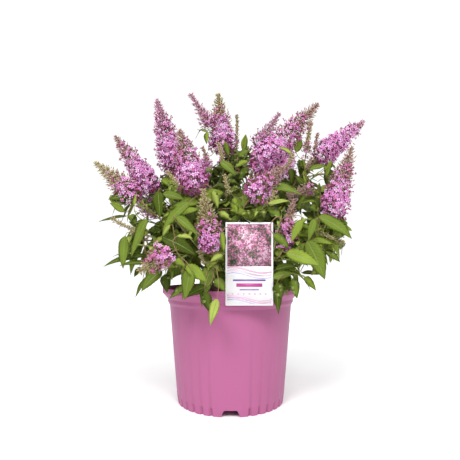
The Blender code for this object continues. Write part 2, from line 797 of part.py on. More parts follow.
def place_leaves(frame, mass, shoot, draw):
    """Opposite pairs of leaves along a shoot, each pair a quarter turn from the last."""
    count = max(2, int(path_length(shoot.path) / LEAF_NODE_GAP))
    quarter = draw.uniform(0, math.pi)
    for node in range(count):
        share = (node + 0.8) / (count + (0.3 if shoot.head else -0.25))
        place, way = way_at(shoot.path, min(share, 1.0))
        across = way.orthogonal().normalized()
        size = LEAF_LENGTH_LOW + (LEAF_LENGTH_HIGH - LEAF_LENGTH_LOW) * share
        for side in (0, math.pi):
            turn = quarter + node * math.pi / 2 + side
            for scale in LEAF_TRIES:
                swing = draw.uniform(-LEAF_SWING, LEAF_SWING)
                out = Matrix.Rotation(turn + swing, 3, way) @ across
                out = (out * 0.86 + way * draw.uniform(0.25, 0.7) + UP * 0.10).normalized()
                length = size * scale * draw.uniform(0.9, 1.1)
                corners = leaf_points(place, out, length, draw.uniform(0.2, 1.0), draw)
                samples = leaf_samples(corners)
                if frame.fits(mass, samples, 0.0) and frame.free_of_own(mass, past_root(samples)):
                    frame.leaves[mass].append(past_root(samples))
                    make_leaf(corners, f"leaf_{len(growing.objects)}")
                    break


def make_head(head, name):
    """A lumpy tapering head round the end of its shoot."""
    form = bmesh.new()
    bmesh.ops.create_uvsphere(form, u_segments=HEAD_SIDES, v_segments=HEAD_RINGS, radius=1)
    turn = head.axis().to_track_quat("Z", "Y").to_matrix()
    for vertex in form.verts:
        share = math.acos(max(-1.0, min(1.0, -vertex.co.z))) / math.pi
        ring = round(share * HEAD_RINGS)
        angle = math.atan2(vertex.co.y, vertex.co.x)
        lump = 1.0 + (HEAD_LUMP if ring % 2 else -HEAD_DIP)
        radius = head.outline(share) * lump if 0 < ring < HEAD_RINGS else 0.0
        place = Vector((radius * math.cos(angle), radius * math.sin(angle), share * head.length()))
        vertex.co = head.foot + turn @ place
    return add_object(name, mesh_of(form, name), growing, flower_pink)


# Joining each mass into one solid


def fuse(base):
    """Joins everything that is in the growing collection to the base object, and empties the collection."""
    join = base.modifiers.new("Fuse", "BOOLEAN")
    join.operation = "UNION"
    join.operand_type = "COLLECTION"
    join.collection = growing
    join.solver = "MANIFOLD"
    applied(base)
    for thing in list(growing.objects):
        bpy.data.objects.remove(thing, do_unlink=True)
    keep_outer_body(base)
    return base


def keep_outer_body(thing):
    """Leaves the largest shell alone: a sealed hollow is filled and a loose scrap dropped."""
    form = bmesh.new()
    form.from_mesh(thing.data)
    bmesh.ops.triangulate(form, faces=form.faces)
    waiting = set(form.faces)
    shells = []
    while waiting:
        seed = waiting.pop()
        shell = {seed}
        edge_of_shell = [seed]
        while edge_of_shell:
            face = edge_of_shell.pop()
            for edge in face.edges:
                for other in edge.link_faces:
                    if other in waiting:
                        waiting.discard(other)
                        shell.add(other)
                        edge_of_shell.append(other)
        shells.append(shell)
    kept = max(shells, key=shell_volume)
    spare = [face for shell in shells if shell is not kept for face in shell]
    bmesh.ops.delete(form, geom=spare, context="FACES")
    form.to_mesh(thing.data)
    form.free()


def shell_volume(shell):
    total = 0.0
    for face in shell:
        a, b, c = (corner.co for corner in face.verts)
        total += a.cross(b).dot(c) / 6
    return total


def make_mass(frame, mass, seed):
    draw = random.Random(seed)
    shoots = frame.masses[mass]
    for number, shoot in enumerate(shoots):
        points = list(shoot.path)
        if shoot.head:
            points.append(shoot.head.foot.lerp(shoot.head.tip, SUNK_IN_HEAD))
        radii = taper(shoot.radius, SHOOT_TIP_RADIUS, len(points))
        if number == 0:
            stem = limb(f"foliage_{mass}", points, radii, TWIG_SIDES, parts, twig_tan)
        else:
            limb(f"shoot_{number}", points, radii, TWIG_SIDES, growing, twig_tan)
        if shoot.head:
            make_head(shoot.head, f"head_{number}")
        place_leaves(frame, mass, shoot, draw)
    return fuse(stem)


def make_stems(frame):
    bark = material("bark brown", STEM_BROWN, 0.85)
    for name, path in frame.stems.items():
        limb(f"stem_{name}", path, stem_radii(path), STEM_SIDES, parts, bark)
    for name, path in frame.boughs.items():
        radii = taper(BOUGH_RADIUS, BOUGH_TIP_RADIUS, len(path))
        limb(f"bough_{name}", path, radii, BOUGH_SIDES, parts, bark)


def center_on_origin():
    """Moves everything sideways so that the whole plant's box is centred on the origin."""
    bpy.context.view_layer.update()
    corners = [thing.matrix_world @ Vector(corner) for thing in parts.objects for corner in thing.bound_box]
    shift = [-(min(c[axis] for c in corners) + max(c[axis] for c in corners)) / 2 for axis in (0, 1)]
    for thing in parts.objects:
        thing.data.transform(Matrix.Translation((round(shift[0], 4), round(shift[1], 4), 0)))


clear_scene()
parts = make_collection(NAME)
guides = make_collection("guides")
growing = make_collection("growing")
sections = {sides: section(sides) for sides in (TWIG_SIDES, BOUGH_SIDES, STEM_SIDES)}
leaf_green = material("leaf green", LEAF_GREEN, 0.55)
flower_pink = material("flower pink", FLOWER_PINK, 0.7)
twig_tan = material("twig tan", TWIG_TAN, 0.7)

make_pot()
make_soil()
plant = Frame()
make_label(plant.strap)
make_stems(plant)
for order, mass_name in enumerate(plant.masses):
    make_mass(plant, mass_name, REDRAWN.get(mass_name, FIRST_SEED + order))
center_on_origin()
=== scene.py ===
"""Looks of the potted butterfly bush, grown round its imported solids. Metres, +Z up, the front towards -Y.
The plant is worked out round the pot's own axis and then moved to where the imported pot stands."""

import math
import random

import bpy
import bmesh
import numpy as np
from mathutils import Matrix, Vector, noise


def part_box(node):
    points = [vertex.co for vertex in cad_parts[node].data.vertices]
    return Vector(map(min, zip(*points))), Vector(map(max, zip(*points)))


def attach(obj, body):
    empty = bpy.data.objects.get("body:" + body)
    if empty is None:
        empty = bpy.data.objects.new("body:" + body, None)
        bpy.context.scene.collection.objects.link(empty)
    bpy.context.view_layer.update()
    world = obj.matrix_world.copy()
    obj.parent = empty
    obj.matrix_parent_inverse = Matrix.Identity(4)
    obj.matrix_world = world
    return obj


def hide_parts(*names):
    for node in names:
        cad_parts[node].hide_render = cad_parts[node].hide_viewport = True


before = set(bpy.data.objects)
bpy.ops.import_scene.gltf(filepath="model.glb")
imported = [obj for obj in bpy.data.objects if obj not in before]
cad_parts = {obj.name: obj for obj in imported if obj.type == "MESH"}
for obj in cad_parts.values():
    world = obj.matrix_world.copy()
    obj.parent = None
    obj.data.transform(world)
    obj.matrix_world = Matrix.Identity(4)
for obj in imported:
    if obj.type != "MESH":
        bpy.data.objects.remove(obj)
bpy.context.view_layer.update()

POT_LOW, POT_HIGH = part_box("pot")
CENTRE = Vector(((POT_LOW.x + POT_HIGH.x) / 2, (POT_LOW.y + POT_HIGH.y) / 2, 0))
UP = Vector((0, 0, 1))
TOUCH_GAP = 0.0003
LEAD = 0.004
PIECE_TRIANGLES = 190000  # most triangles in one joined piece

# Camera, placed round the pot's axis
CAMERA_DISTANCE = 0.90
CAMERA_HEIGHT = 0.29
CAMERA_ASIDE = -0.001
CAMERA_SHIFT = 0.0652  # the photograph's horizon lies this share of its side below the middle
EYE = np.array((CAMERA_ASIDE, -CAMERA_DISTANCE, CAMERA_HEIGHT))
SENSOR = 36.0
LENS = 33.7

# The photograph, taken as 460 pixels square
PHOTO_FOCAL = 430.6
PHOTO_AXIS = 230.5  # the column where the pot's axis stands
PHOTO_MIDDLE = 230
PHOTO_HORIZON = 260

# Pot
POT_STEP = 1.5  # degrees
POT_WALL = 0.002
FOOT_RADIUS = 0.1083
FOOT_RING_WIDTH = 0.005
FOOT_TOP = (0.1106, 0.015)  # radius, height
GROOVES = 6  # in the foot, between one notch and the next
GROOVE_FIRST = 19.5  # degrees from the notch
GROOVE_STEP = 10.2
GROOVE_HALF = 2.1  # half a groove's width, in degrees
GROOVE_SHARES = (-1, -0.7, -0.4, 0, 0.4, 0.7, 1)  # where a groove has rows of points, in half widths
GROOVE_CLEAR = 1.15  # the other rows stay this many half widths from its middle
GROOVE_RINGS = 9  # rings of points up a groove
GROOVE_DEPTH = 0.0042
GROOVE_TOP = 0.018
GROOVE_FADE = 0.005  # height over which a groove dies away
GROOVE_LIFT = 0.0034  # how high the foot's edge is arched in the middle of a groove
FLOOR_MIDDLE = 0.02  # radius of the flat face in the middle of the floor
FLOOR_ROUND = (0.004, 0.002)  # where the floor turns up into the wall: inwards, upwards
FLOOR_BOTTOM = 0.014
FLOOR_TOP = 0.0165
WALL_TOP = (0.1254, 0.199)
BAND_RADIUS = 0.1292
BAND_BOTTOM = 0.2055
BAND_TOP = 0.2115
LIP_RADIUS = 0.140
LIP_BOTTOM = 0.223
LIP_TOP = 0.2345
LIP_THICK = 0.0028
LIP_ROUND = 0.0012
LIP_EASE = 0.0008  # how far the lip's lower edge is eased
BAND_EASE = 0.0007
NOTCHES = 4
NOTCH_WIDTH = 0.043
NOTCH_TOP_WIDTH = 0.026
NOTCH_HEIGHT = 0.0132
NOTCH_ROUND = 0.0035
SHARP_DEGREES = 38  # edges that turn more than this stay sharp

# Potting mix
SOIL_TOP = 0.204
SOIL_EDGE_DROP = 0.0065
SOIL_LUMP = 0.0022
SOIL_RINGS = 26
SOIL_STEPS = 96
CRUMBS = 1500
CRUMB_SIZE = ((0.0012, 0.0034), (0.0008, 0.0018), (0.0005, 0.0012))  # half length, half width, half height
CRUMB_SUNK = (-0.0005, 0.0012)  # height of a crumb's middle over the mix

# Main stems and boughs
STEM_RING = 0.034
STEM_LEAN = 0.30
STEM_HEIGHT = 0.046
STEM_BASE_RADIUS = 0.0078
STEM_NECK_RADIUS = 0.0050
STEM_TIP_RADIUS = 0.0040
STEM_SIDES = 8
FLARE_LENGTH = 0.008
FORK_STEP = 0.012
FORK_GAP = 0.0004
FORK_DEGREES = 53
BOUGH_RADIUS = 0.0031
BOUGH_TIP_RADIUS = 0.0023
BOUGH_SIDES = 6
BOUGH_SHARE = 0.22
BOUGH_LIFT = 0.008
BOUGH_STEEPENS = 0.35
BARK_SIDES = 16
BARK_STEP = 0.0016  # length of a ring of bark
BARK_RELIEF = 0.00035
BARK_RIDGES = (2.3, 160)  # fine ridges of the bark, as cells of noise across a limb and along a metre of it
BARK_SWELLS = (3.1, 60, 0.8)  # broader swellings round it and along it, and their share of the relief
BURIED = 0.0035  # how far a limb's foot runs on into the limb that bears it

# Shoots of a mass
SHOOT_RADIUS = 0.0021
SHOOT_TIP_RADIUS = 0.0012
SHOOT_SIDES = 7
SHOOT_STEP = 0.008  # length of a ring of a shoot
SIDE_SHOOT_RADIUS = 0.0016
SIDE_FROM = (0.22, 0.13)  # the least share of the stem where the second head's shoot leaves it, and each next
SIDE_AHEAD = 0.09  # and about how far before its head it does so
SIDE_WAY = (0.8, 0.6)  # how much it turns towards its head, and along the stem
LEAFY_SHOOTS = 4
LEAFY_LENGTH = (0.065, 0.115)
LEAFY_RISE = (-12, 50)  # degrees above level
LEAFY_FROM = (0.06, 0.20)  # the share of the stem where the first one leaves it, and each next
LEAFY_STRAYS = (-0.03, 0.08)  # how far from that share it may be
LEAFY_SWING = 75  # degrees to either side of straight outwards
LEAFY_TRIES = 16
LEAFY_ROOM = 0.004  # the least room that its path needs

# More side shoots on each mass of the hidden side, low down, so that it is as full as the front
LOW_SHOOTS = 3
LOW_LENGTH = (0.055, 0.095)
LOW_RISE = (-38, 0)
LOW_FROM = (0.04, 0.08)

# Finer twigs that the solids leave out
FINE_TWIG_GAP = 0.030  # spacing along the shoot that bears them
FINE_TWIG_LENGTH = (0.030, 0.070)
FINE_TWIG_RISE = (-0.5, 0.9)  # for each unit outwards
FINE_TWIG_AHEAD = 0.4
FINE_TWIG_SWING = 100
FINE_TWIG_RADIUS = 0.0009
FINE_TWIG_TIP = 0.0006
FINE_TWIG_SIDES = 5
FINE_TWIG_STEP = 0.012
FINE_TRIES = 6
FINE_NODE_GAP = 0.017
FINE_LEAF_LOW = 0.070  # length of its leaves at its foot and at its tip
FINE_LEAF_HIGH = 0.040
FINE_FIRST = 0.35  # share of its length up to its first leaves
FINE_END_LEAF = 0.036
SHOOT_END_LEAF = 0.045
END_TRIES = (1.0, 0.8)

# Leaves
LEAF_LENGTH_LOW = 0.100
LEAF_LENGTH_HIGH = 0.058
LEAF_WIDTH_SHARE = 0.38
HIGH_UP = (0.42, 0.56)  # from here to here, leaves grow smaller
HIGH_SCALE = 0.62  # down to this scale
LEAF_THICK = 0.00045
LEAF_NODE_GAP = 0.022
LEAF_TRIES = (1.0, 1.0, 0.9, 0.9, 0.8, 0.8, 0.7, 0.6)
LEAF_SWING = 0.60
LEAF_TILT = 0.60
LEAF_SPREAD = (0.88, 1.12)  # lengths and widths, as shares of the plain one
LEAF_DROOP = (0.25, 1.1)
LEAF_AHEAD = (0.2, 0.7)  # how far a leaf leans along its twig, for each LEAF_OUT away from it
LEAF_OUT = 0.86
LEAF_UPWARDS = 0.10
LEAF_PEAK = 0.36  # share of its length where a leaf is widest
LEAF_SWELL = 0.62  # how quickly it widens up to there: less than one is round
LEAF_TWIST = 0.5
LEAF_BOW = 0.08
LEAF_FOLD = (0.25, 0.55)  # how far its sides rise from the rib
LEAF_FLATTENS = 0.62  # how far they flatten again towards the edge
LEAF_WAVE = 0.10
LEAF_WAVES = 9  # radians of the edge's wave from root to tip
LEAF_LEAST = 0.0009  # least half width of a leaf's stations, and of a small one's
SMALL_LEAST = 0.0006
SHOWN_TILT = 0.2  # roll and droop of the leaves that stand out in the photograph
SHOWN_DROOP = (0.2, 0.5)
SHOWN_TIP_BACK = (-0.012, 0.004)  # how far their tips lie behind their roots, as the camera sees them
TIP_SAG = 0.62  # how far a fully drooping leaf's tip hangs and draws in, as shares of its length
TIP_DRAWN_IN = 0.25
ROOT_RISE = 0.05
LIGHT_UP = 0.60  # a leaf turns its face this much upwards and this much outwards,
LIGHT_OUT = 0.40
LIGHT_FRONT = Vector((-0.15, -0.75, 0))  # and at the front also this way
LEAF_STATIONS = (0.0, 0.07, 0.17, 0.29, 0.42, 0.56, 0.70, 0.83, 0.93)
SMALL_STATIONS = (0.0, 0.16, 0.36, 0.58, 0.80)
RIB_SHARE = 0.055  # half the midrib's width, as a share of half the leaf's
TOOTH = 0.055  # how far a tooth stands out, in the same share
TOOTH_AT = 0.62  # where it stands, as a share of the way from one station to the next
VEINS = 11.0  # side veins along a leaf
VEIN_LEAN = 5.0  # how far they run forward on their way to the edge
VEIN_HALF = 0.055
SMALL_LEAF = 0.038  # leaves shorter than this are made with fewer faces
FRONT_FROM = 0.06  # leaves in front of this y turn towards the light at the front,
FRONT_DEEP = 0.14  # fully so this much further on
GREENS_LOW = ("leaf_deep", "leaf_mid", "leaf_mid", "leaf_fresh")  # drawn from, low on a shoot
GREENS_HIGH = ("leaf_mid", "leaf_mid", "leaf_fresh", "leaf_fresh")  # and beyond this share of it
GREENS_CHANGE = 0.55
AXIL_CHANCE = 0.45
AXIL_AHEAD = 0.8
AXIL_TWIG = (0.006, 0.016)
AXIL_RADII = (0.0006, 0.0004)
AXIL_LENGTH = (0.018, 0.038)
CELL = 0.0045  # leaves don't share cells of this size
SHARED_CELLS = 1  # beyond this many

# Flower heads
FLORET_RADIUS = 0.0042
FLORET_GAP = 0.0066
FLORET_LAYERS = (0.0, 0.0065)  # how deep each layer of florets lies
RING_GAP = 0.0060
RING_STRAYS = 0.3  # how far a floret or bud strays round its ring, as a share of the gap to the next one
EYE_SHARE = 0.17  # the orange eye's radius, as a share of the floret's
TUBE_LENGTH = 0.0095
TUBE_RADIUS = 0.0012
FLORET_JITTER = (-0.0045, 0.0040)  # how far florets stand back from the head's surface or out of it
FLORET_SPREAD = (0.85, 1.12)  # their sizes, as shares of the plain one
FLORET_TURN = 0.4  # how far they turn from straight outwards, to any side
FLORET_LEAN = (-0.05, 0.45)  # and towards the tip
STANDS_OUT = 0.0035  # how much further some of them stand out
STANDS_OUT_CHANCE = 0.15
LOOSE_FOOT = 0.20  # the share of a head, from its foot, where florets are few
LOOSE_CHANCE = 0.40  # how many of them are left out there
YOUNG_ZONE = 0.22  # the share of a head below its stage where many florets are still in bud
YOUNG_SIZE = 0.86
YOUNG_BUDS = 0.40  # the share of buds there, and elsewhere among the florets
STRAY_BUDS = 0.06
HEAD_WHORL = 0.0015  # how far the florets' whorls stand proud, and the head's own lumps
HEAD_LUMP = 0.0030
HEAD_LEAST = 0.002
LATE_ZONE = 0.20  # the share of a head above its stage where a few buds are open
LATE_CHANCE = 0.25
LATE_SIZE = 0.75
BUD_LENGTH = 0.0088
BUD_SPREAD = (0.65, 1.2)
BUD_RADIUS = 0.0010
BUD_GAP = 0.0060
BUD_RING_GAP = 0.0040
BUD_STRAYS = 0.0015  # how far a bud lies from its ring
BUD_LAYERS = (1.0, 0.72, 0.42)  # reach of each layer of buds
BUD_REACH = (0.75, 1.25)
BUD_REACH_LEAST = 0.0070
BUD_OUT = (0.6, 1.0)  # how far it points outwards, and towards the tip
BUD_AHEAD = (0.2, 1.0)
BUD_WHORL = (0.22, 2.6)  # how far whorls of buds stand proud, and rings from one whorl to the next
SPIKE_SCALE = 0.75  # size of the buds on a head that has no open floret
CLUSTER_GAP = 0.0125  # from one whorl of a head to the next
STALK_RADIUS = 0.0016
STALK_TIP_RADIUS = 0.0007
KEPT_OPEN = 0.80  # leaves keep off this share of a head's width, as the photograph sees it
SHOWN_WIDER = 1.15  # the leaves that stand out in the photograph are this much wider than was read from it

# How far out leaves reach at each height, as (height, reach)
LEAF_REACH = ((0.17, 0.185), (0.24, 0.195), (0.32, 0.242), (0.48, 0.258), (0.60, 0.150))

SPACE_MARGIN = 0.0009
LIMB_MARGIN = 0.0012
POT_MARGIN = 0.0018
LABEL_MARGIN = 0.003

# Label
LABEL_WIDTH = 0.084
LABEL_HEIGHT = 0.147
LABEL_THICK = 0.0009
LABEL_LEFT = -0.0090
LABEL_BOTTOM = 0.2095
LABEL_CORNER = 0.0015
LABEL_BORDER = 0.0032
LABEL_PRINT = 0.00008  # how far the printed panels stand proud
LABEL_SPLIT = 0.47  # share of the height inside the border that lies below the upper panel
LABEL_SEAM = 0.0003  # between the upper panel and the bands below it
BAND_WAVE = 0.0050
BAND_STEPS = 24
BAND_TURNS = (0.15, 0.75)  # where in its wave a band begins, and how many waves it makes
LABEL_BANDS = (  # finish, height above the border and width of each waving band
    ("label_rose", 0.0580, 0.0030), ("label_blush", 0.0530, 0.0030), ("label_lilac", 0.0490, 0.0016),
    ("label_blush", 0.0090, 0.0040), ("label_rose", 0.0055, 0.0022), ("label_lilac", 0.0020, 0.0022),
)
LABEL_BARS = (("label_violet", 0.0400, 0.0030, 0.010), ("label_magenta", 0.0300, 0.0060, 0.016),
              ("label_violet", 0.0240, 0.0016, 0.022))  # finish, height, thickness and inset of each bar
LABEL_DOTS = 7
LABEL_DOT_RADIUS = 0.0014
LABEL_DOT_HEIGHT = 0.0175
LABEL_DOT_SIDES = 16
NICK_WIDTH = 0.006
NICK_DEPTH = 0.003
STRAP_RADIUS = 0.0009
STRAP_HALF_WIDTH = 0.0060
STRAP_FOOT_DEPTH = 0.003
STRAP_STEP = 0.002
STRAP_SIDES = 10
HUNG_ON = "front_centre"
HUNG_SHARE = 0.66

STEMS = {
    "right": 0,
    "back_right": 60,
    "back_left": 120,
    "left": 180,
    "front_left": 238,
    "front_right": 300,
    "middle": None,
}

# The stem, the mass, then each head's tip, foot, widest radius in the solids, fullness as a share of that,
# stage and the tint of its unopened buds
HEADS = (
    ("left", "left", (-0.277, -0.020, 0.490), (-0.185, -0.040, 0.412), 0.025, 1.12, 0.42, "olive"),
    ("left", "left", (-0.229, -0.072, 0.370), (-0.180, -0.068, 0.343), 0.006, 1.30, 0.0, "olive"),
    ("left", "upper_left", (-0.247, 0.020, 0.555), (-0.162, 0.000, 0.436), 0.029, 0.98, 0.66, "brown"),
    ("front_left", "lower_left", (-0.152, -0.188, 0.270), (-0.108, -0.150, 0.302), 0.023, 1.0, 0.5, "olive"),
    ("front_left", "front_left", (-0.049, -0.140, 0.415), (-0.031, -0.148, 0.305), 0.022, 1.1, 0.46, "olive"),
    ("front_left", "inner_left", (-0.099, -0.060, 0.545), (-0.066, -0.075, 0.42), 0.034, 1.02, 0.62, "brown"),
    ("left", "upper_left", (-0.162, 0.045, 0.643), (-0.118, 0.022, 0.480), 0.029, 1.12, 0.60, "mauve"),
    ("middle", "top", (-0.027, 0.045, 0.656), (-0.016, 0.030, 0.520), 0.034, 0.92, 0.58, "olive"),
    ("middle", "top", (-0.085, 0.015, 0.643), (-0.040, 0.012, 0.570), 0.012, 1.45, 0.15, "mauve"),
    ("middle", "top", (0.015, 0.085, 0.622), (0.014, 0.078, 0.545), 0.006, 1.30, 0.0, "olive"),
    ("middle", "top", (0.115, 0.110, 0.634), (0.058, 0.088, 0.545), 0.017, 1.30, 0.20, "mauve"),
    ("front_right", "front_centre", (0.1, -0.108, 0.462), (0.036, -0.118, 0.402), 0.028, 1.05, 0.45, "brown"),
    ("front_right", "front_right", (0.114, -0.122, 0.400), (0.094, -0.136, 0.312), 0.016, 1.2, 0.4, "brown"),
    ("right", "lower_right", (0.211, -0.100, 0.322), (0.172, -0.088, 0.340), 0.008, 0.80, 0.0, "olive"),
    ("right", "right", (0.243, -0.040, 0.516), (0.194, -0.060, 0.372), 0.031, 1.00, 0.55, "brown"),
    ("right", "right", (0.108, -0.082, 0.412), (0.160, -0.060, 0.430), 0.011, 1.30, 0.10, "brown"),
    ("right", "upper_right", (0.285, 0.020, 0.587), (0.182, 0.005, 0.500), 0.024, 1.20, 0.80, "mauve"),
    ("right", "upper_right", (0.182, 0.075, 0.605), (0.168, 0.065, 0.520), 0.009, 1.30, 0.20, "olive"),
    ("front_right", "top_right", (0.179, -0.020, 0.609), (0.048, -0.040, 0.470), 0.036, 0.96, 0.60, "brown"),
)

# Leaves that stand out in the photograph: root and tip by column and row, width in pixels,
# and depth in metres behind the pot's axis
SHOWN_LEAVES = (
    ("leaf_deep", 130, 197, 108, 199.5, 8, -0.05),
    ("leaf_fresh", 124, 212, 109.5, 203, 6, -0.06),
    ("leaf_young", 134, 206, 137, 193, 7, -0.09),
    ("leaf_deep", 127, 216, 98, 222, 4, -0.04),
    ("leaf_deep", 158, 191, 160, 219, 12, -0.09),
    ("leaf_mid", 163, 194, 185, 200, 9, -0.09),
    ("leaf_mid", 189, 202, 162, 232, 15, -0.13),
    ("leaf_mid", 147, 219, 131, 258, 16, -0.10),
    ("leaf_mid", 125, 236, 123, 269, 12, -0.08),
    ("leaf_deep", 141, 249, 112, 257, 5, -0.05),
    ("leaf_deep", 148, 256, 103, 267, 6, -0.07),
    ("leaf_deep", 150, 263, 119, 266, 5, -0.09),
    ("leaf_mid", 162, 271, 141, 292, 11, -0.12),
    ("leaf_deep", 147, 277, 135, 298, 7, -0.09),
    ("leaf_deep", 142, 267, 134, 277, 6, -0.07),
    ("leaf_deep", 165, 274, 167, 293, 10, -0.10),
    ("leaf_deep", 162, 237, 197, 256, 16, -0.13),
    ("leaf_fresh", 171, 259, 186, 268, 7, -0.15),
    ("leaf_deep", 149, 230, 163, 232, 8, -0.06),
    ("leaf_mid", 176, 217, 198, 236, 10, -0.17),
    ("leaf_young", 170, 225, 162, 237, 5, -0.14),
    ("leaf_young", 177, 236, 193, 239, 5, -0.215),
    ("leaf_fresh", 186, 266, 207, 282, 11, -0.18),
    ("leaf_mid", 190, 269, 185, 300, 14, -0.18),
    ("leaf_mid", 185, 287, 169, 299, 9, -0.15),
    ("leaf_deep", 206, 287, 184, 299, 9, -0.155),
    ("leaf_deep", 205, 292, 209, 312, 10, -0.165),
    ("leaf_young", 217, 299, 210, 326, 9, -0.175),
    ("leaf_mid", 215, 279, 225, 292, 10, -0.16),
    ("leaf_fresh", 222, 232, 224, 253, 6, -0.17),
    ("leaf_young", 223, 255, 210, 262, 6, -0.17),
    ("leaf_fresh", 217, 262, 206, 270, 5, -0.16),
    ("leaf_young", 213, 191, 218, 209, 7, -0.13),
    ("leaf_young", 218, 212, 233, 222, 6, -0.12),
    ("leaf_mid", 220, 162, 236, 176, 8, -0.09),
    ("leaf_mid", 225, 142, 229, 158, 6, -0.03),
    ("leaf_fresh", 243, 151, 246, 134, 7, 0.0),
    ("leaf_mid", 238, 157, 252, 149, 7, -0.03),
    ("leaf_fresh", 235, 167, 249, 161, 6, -0.05),
    ("leaf_deep", 247, 168, 238, 181, 8, -0.06),
    ("leaf_mid", 267, 188, 303, 196, 14, -0.11),
    ("leaf_young", 268, 204, 290, 201, 5, -0.14),
    ("leaf_mid", 268, 207, 281, 219, 9, -0.13),
    ("leaf_fresh", 296, 152, 301, 134, 9, -0.02),
    ("leaf_young", 292, 154, 278, 147, 5, -0.07),
    ("leaf_deep", 291, 168, 292, 187, 9, -0.05),
    ("leaf_deep", 296, 177, 310, 192, 9, -0.05),
    ("leaf_fresh", 303, 172, 307, 186, 5, -0.06),
    ("leaf_mid", 309, 170, 326, 166, 6, -0.04),
    ("leaf_fresh", 326, 177, 332, 160, 5, -0.03),
    ("leaf_fresh", 342, 178, 354, 170, 6, -0.03),
    ("leaf_fresh", 339, 189, 348, 206, 7, -0.04),
    ("leaf_mid", 318, 217, 352, 239, 15, -0.09),
    ("leaf_fresh", 302, 220, 291, 243, 8, -0.17),
    ("leaf_mid", 315, 219, 308, 242, 8, -0.12),
    ("leaf_mid", 273, 234, 289, 249, 9, -0.215),
    ("leaf_fresh", 286, 253, 320, 266, 14, -0.16),
    ("leaf_mid", 307, 241, 325, 280, 17, -0.13),
    ("leaf_mid", 325, 250, 340, 262, 9, -0.08),
    ("leaf_fresh", 311, 240, 341, 245, 7, -0.09),
    ("leaf_deep", 275, 270, 298, 267, 7, -0.13),
    ("leaf_mid", 272, 278, 295, 273, 8, -0.14),
    ("leaf_mid", 302, 273, 324, 275, 5, -0.11),
    ("leaf_young", 312, 275, 320, 265, 4, -0.12),
    ("leaf_fresh", 304, 277, 316, 291, 8, -0.13),
    ("leaf_mid", 293, 278, 297, 299, 9, -0.14),
    ("leaf_deep", 284, 275, 289, 292, 11, -0.12),
    ("leaf_deep", 277, 283, 281, 300, 11, -0.15),
)

# Small spikes of buds that stand out there: foot and tip by column and row, radius in pixels, depth and tint
SHOWN_SPIKES = (
    (222, 160, 219, 143, 3.0, -0.08, "olive"),
    (229, 192, 224, 175, 3.0, -0.13, "olive"),
    (176, 182, 167, 171, 3.5, -0.12, "olive"),
    (205, 153, 202, 147, 2.0, -0.05, "brown"),
    (271, 203, 274, 191, 2.5, -0.13, "olive"),
    (287, 167, 293, 154, 3.5, -0.07, "olive"),
    (307, 167, 312, 157, 3.5, -0.04, "brown"),
    (315, 147, 318, 133, 3.0, -0.01, "brown"),
    (203, 262, 199, 250, 2.5, -0.14, "olive"),
)

# Places where the photograph shows the sky through or beside the leaves, as column, row and radius in pixels
SKY_GAPS = (
    (95, 238, 17), (112, 238, 10), (126, 228, 5), (112, 250, 5), (105, 285, 17), (120, 283, 12),
    (125, 305, 20), (152, 287, 5), (154, 300, 9), (137, 209, 3), (143, 216, 4), (157, 218, 5),
    (168, 202, 4), (151, 225, 3), (147, 240, 4), (176, 283, 4), (177, 274, 3), (200, 262, 3),
    (122, 164, 5), (150, 128, 9), (212, 159, 5), (197, 122, 8), (232, 106, 6), (247, 106, 7),
    (308, 149, 4), (314, 178, 5), (321, 172, 3), (339, 162, 5), (357, 190, 6), (360, 215, 12),
    (343, 212, 4), (355, 258, 12), (345, 275, 13), (332, 291, 12), (306, 300, 7), (322, 306, 14),
    (303, 269, 3), (311, 269, 3), (287, 262, 3), (332, 268, 3), (296, 221, 3),
)

BACK_STEMS = ("back_right", "back_right", "middle", "back_left", "left")
BACK_BEARINGS = (44, 68, 94, 121, 148)
BACK_HIGH = (0.150, 0.470, 0.190, 0.575)  # foot reach and height, tip reach and height
BACK_LOW = (0.170, 0.375, 0.238, 0.440)
BACK_RADIUS = (0.031, 0.026)
BACK_TURNS = (-6, 7)  # degrees from its mass's bearing to the high head and to the low one
BACK_FULL = 1.0
BACK_STAGE = 0.62
BACK_TINTS = ("mauve", "brown")

# Base colours, linear
POT_PINK = (0.375, 0.104, 0.232)
POT_STREAK = (0.352, 0.095, 0.214)
SOIL_BROWN = (0.040, 0.025, 0.016)
SOIL_LIGHT = (0.095, 0.060, 0.036)
BARK_BROWN = (0.135, 0.074, 0.046)
TWIG_TAN = (0.240, 0.160, 0.068)
TWIG_GREEN = (0.185, 0.220, 0.048)
LEAF_GREENS = {
    "leaf_mid": (0.122, 0.174, 0.020),
    "leaf_fresh": (0.188, 0.256, 0.028),
    "leaf_deep": (0.066, 0.098, 0.008),
    "leaf_young": (0.300, 0.370, 0.070),
}
LEAF_UNDER = (0.200, 0.250, 0.070)
LEAF_RIB = (0.160, 0.212, 0.036)
PETALS = {
    "petal_pale": (0.760, 0.455, 0.755),
    "petal_pink": (0.680, 0.270, 0.600),
    "petal_deep": (0.570, 0.160, 0.405),
}
EYE_ORANGE = (0.780, 0.190, 0.080)
TUBE_MAGENTA = (0.540, 0.055, 0.210)
BUD_TINTS = {
    "mauve": ((0.390, 0.200, 0.190), (0.680, 0.360, 0.610)),
    "brown": ((0.320, 0.215, 0.120), (0.540, 0.310, 0.370)),
    "olive": ((0.340, 0.285, 0.120), (0.540, 0.430, 0.270)),
}
LABEL_WHITE = (0.93, 0.92, 0.94)
LABEL_FLECKS = (
    (0.025, 0.050, 0.025),
    (0.075, 0.125, 0.050),
    (0.330, 0.080, 0.180),
    (0.530, 0.200, 0.360),
    (0.680, 0.470, 0.570),
)
LABEL_COLORS = {
    "label_rose": (0.66, 0.40, 0.54),
    "label_lilac": (0.50, 0.46, 0.68),
    "label_blush": (0.72, 0.56, 0.66),
    "label_violet": (0.17, 0.11, 0.34),
    "label_magenta": (0.46, 0.06, 0.26),
}
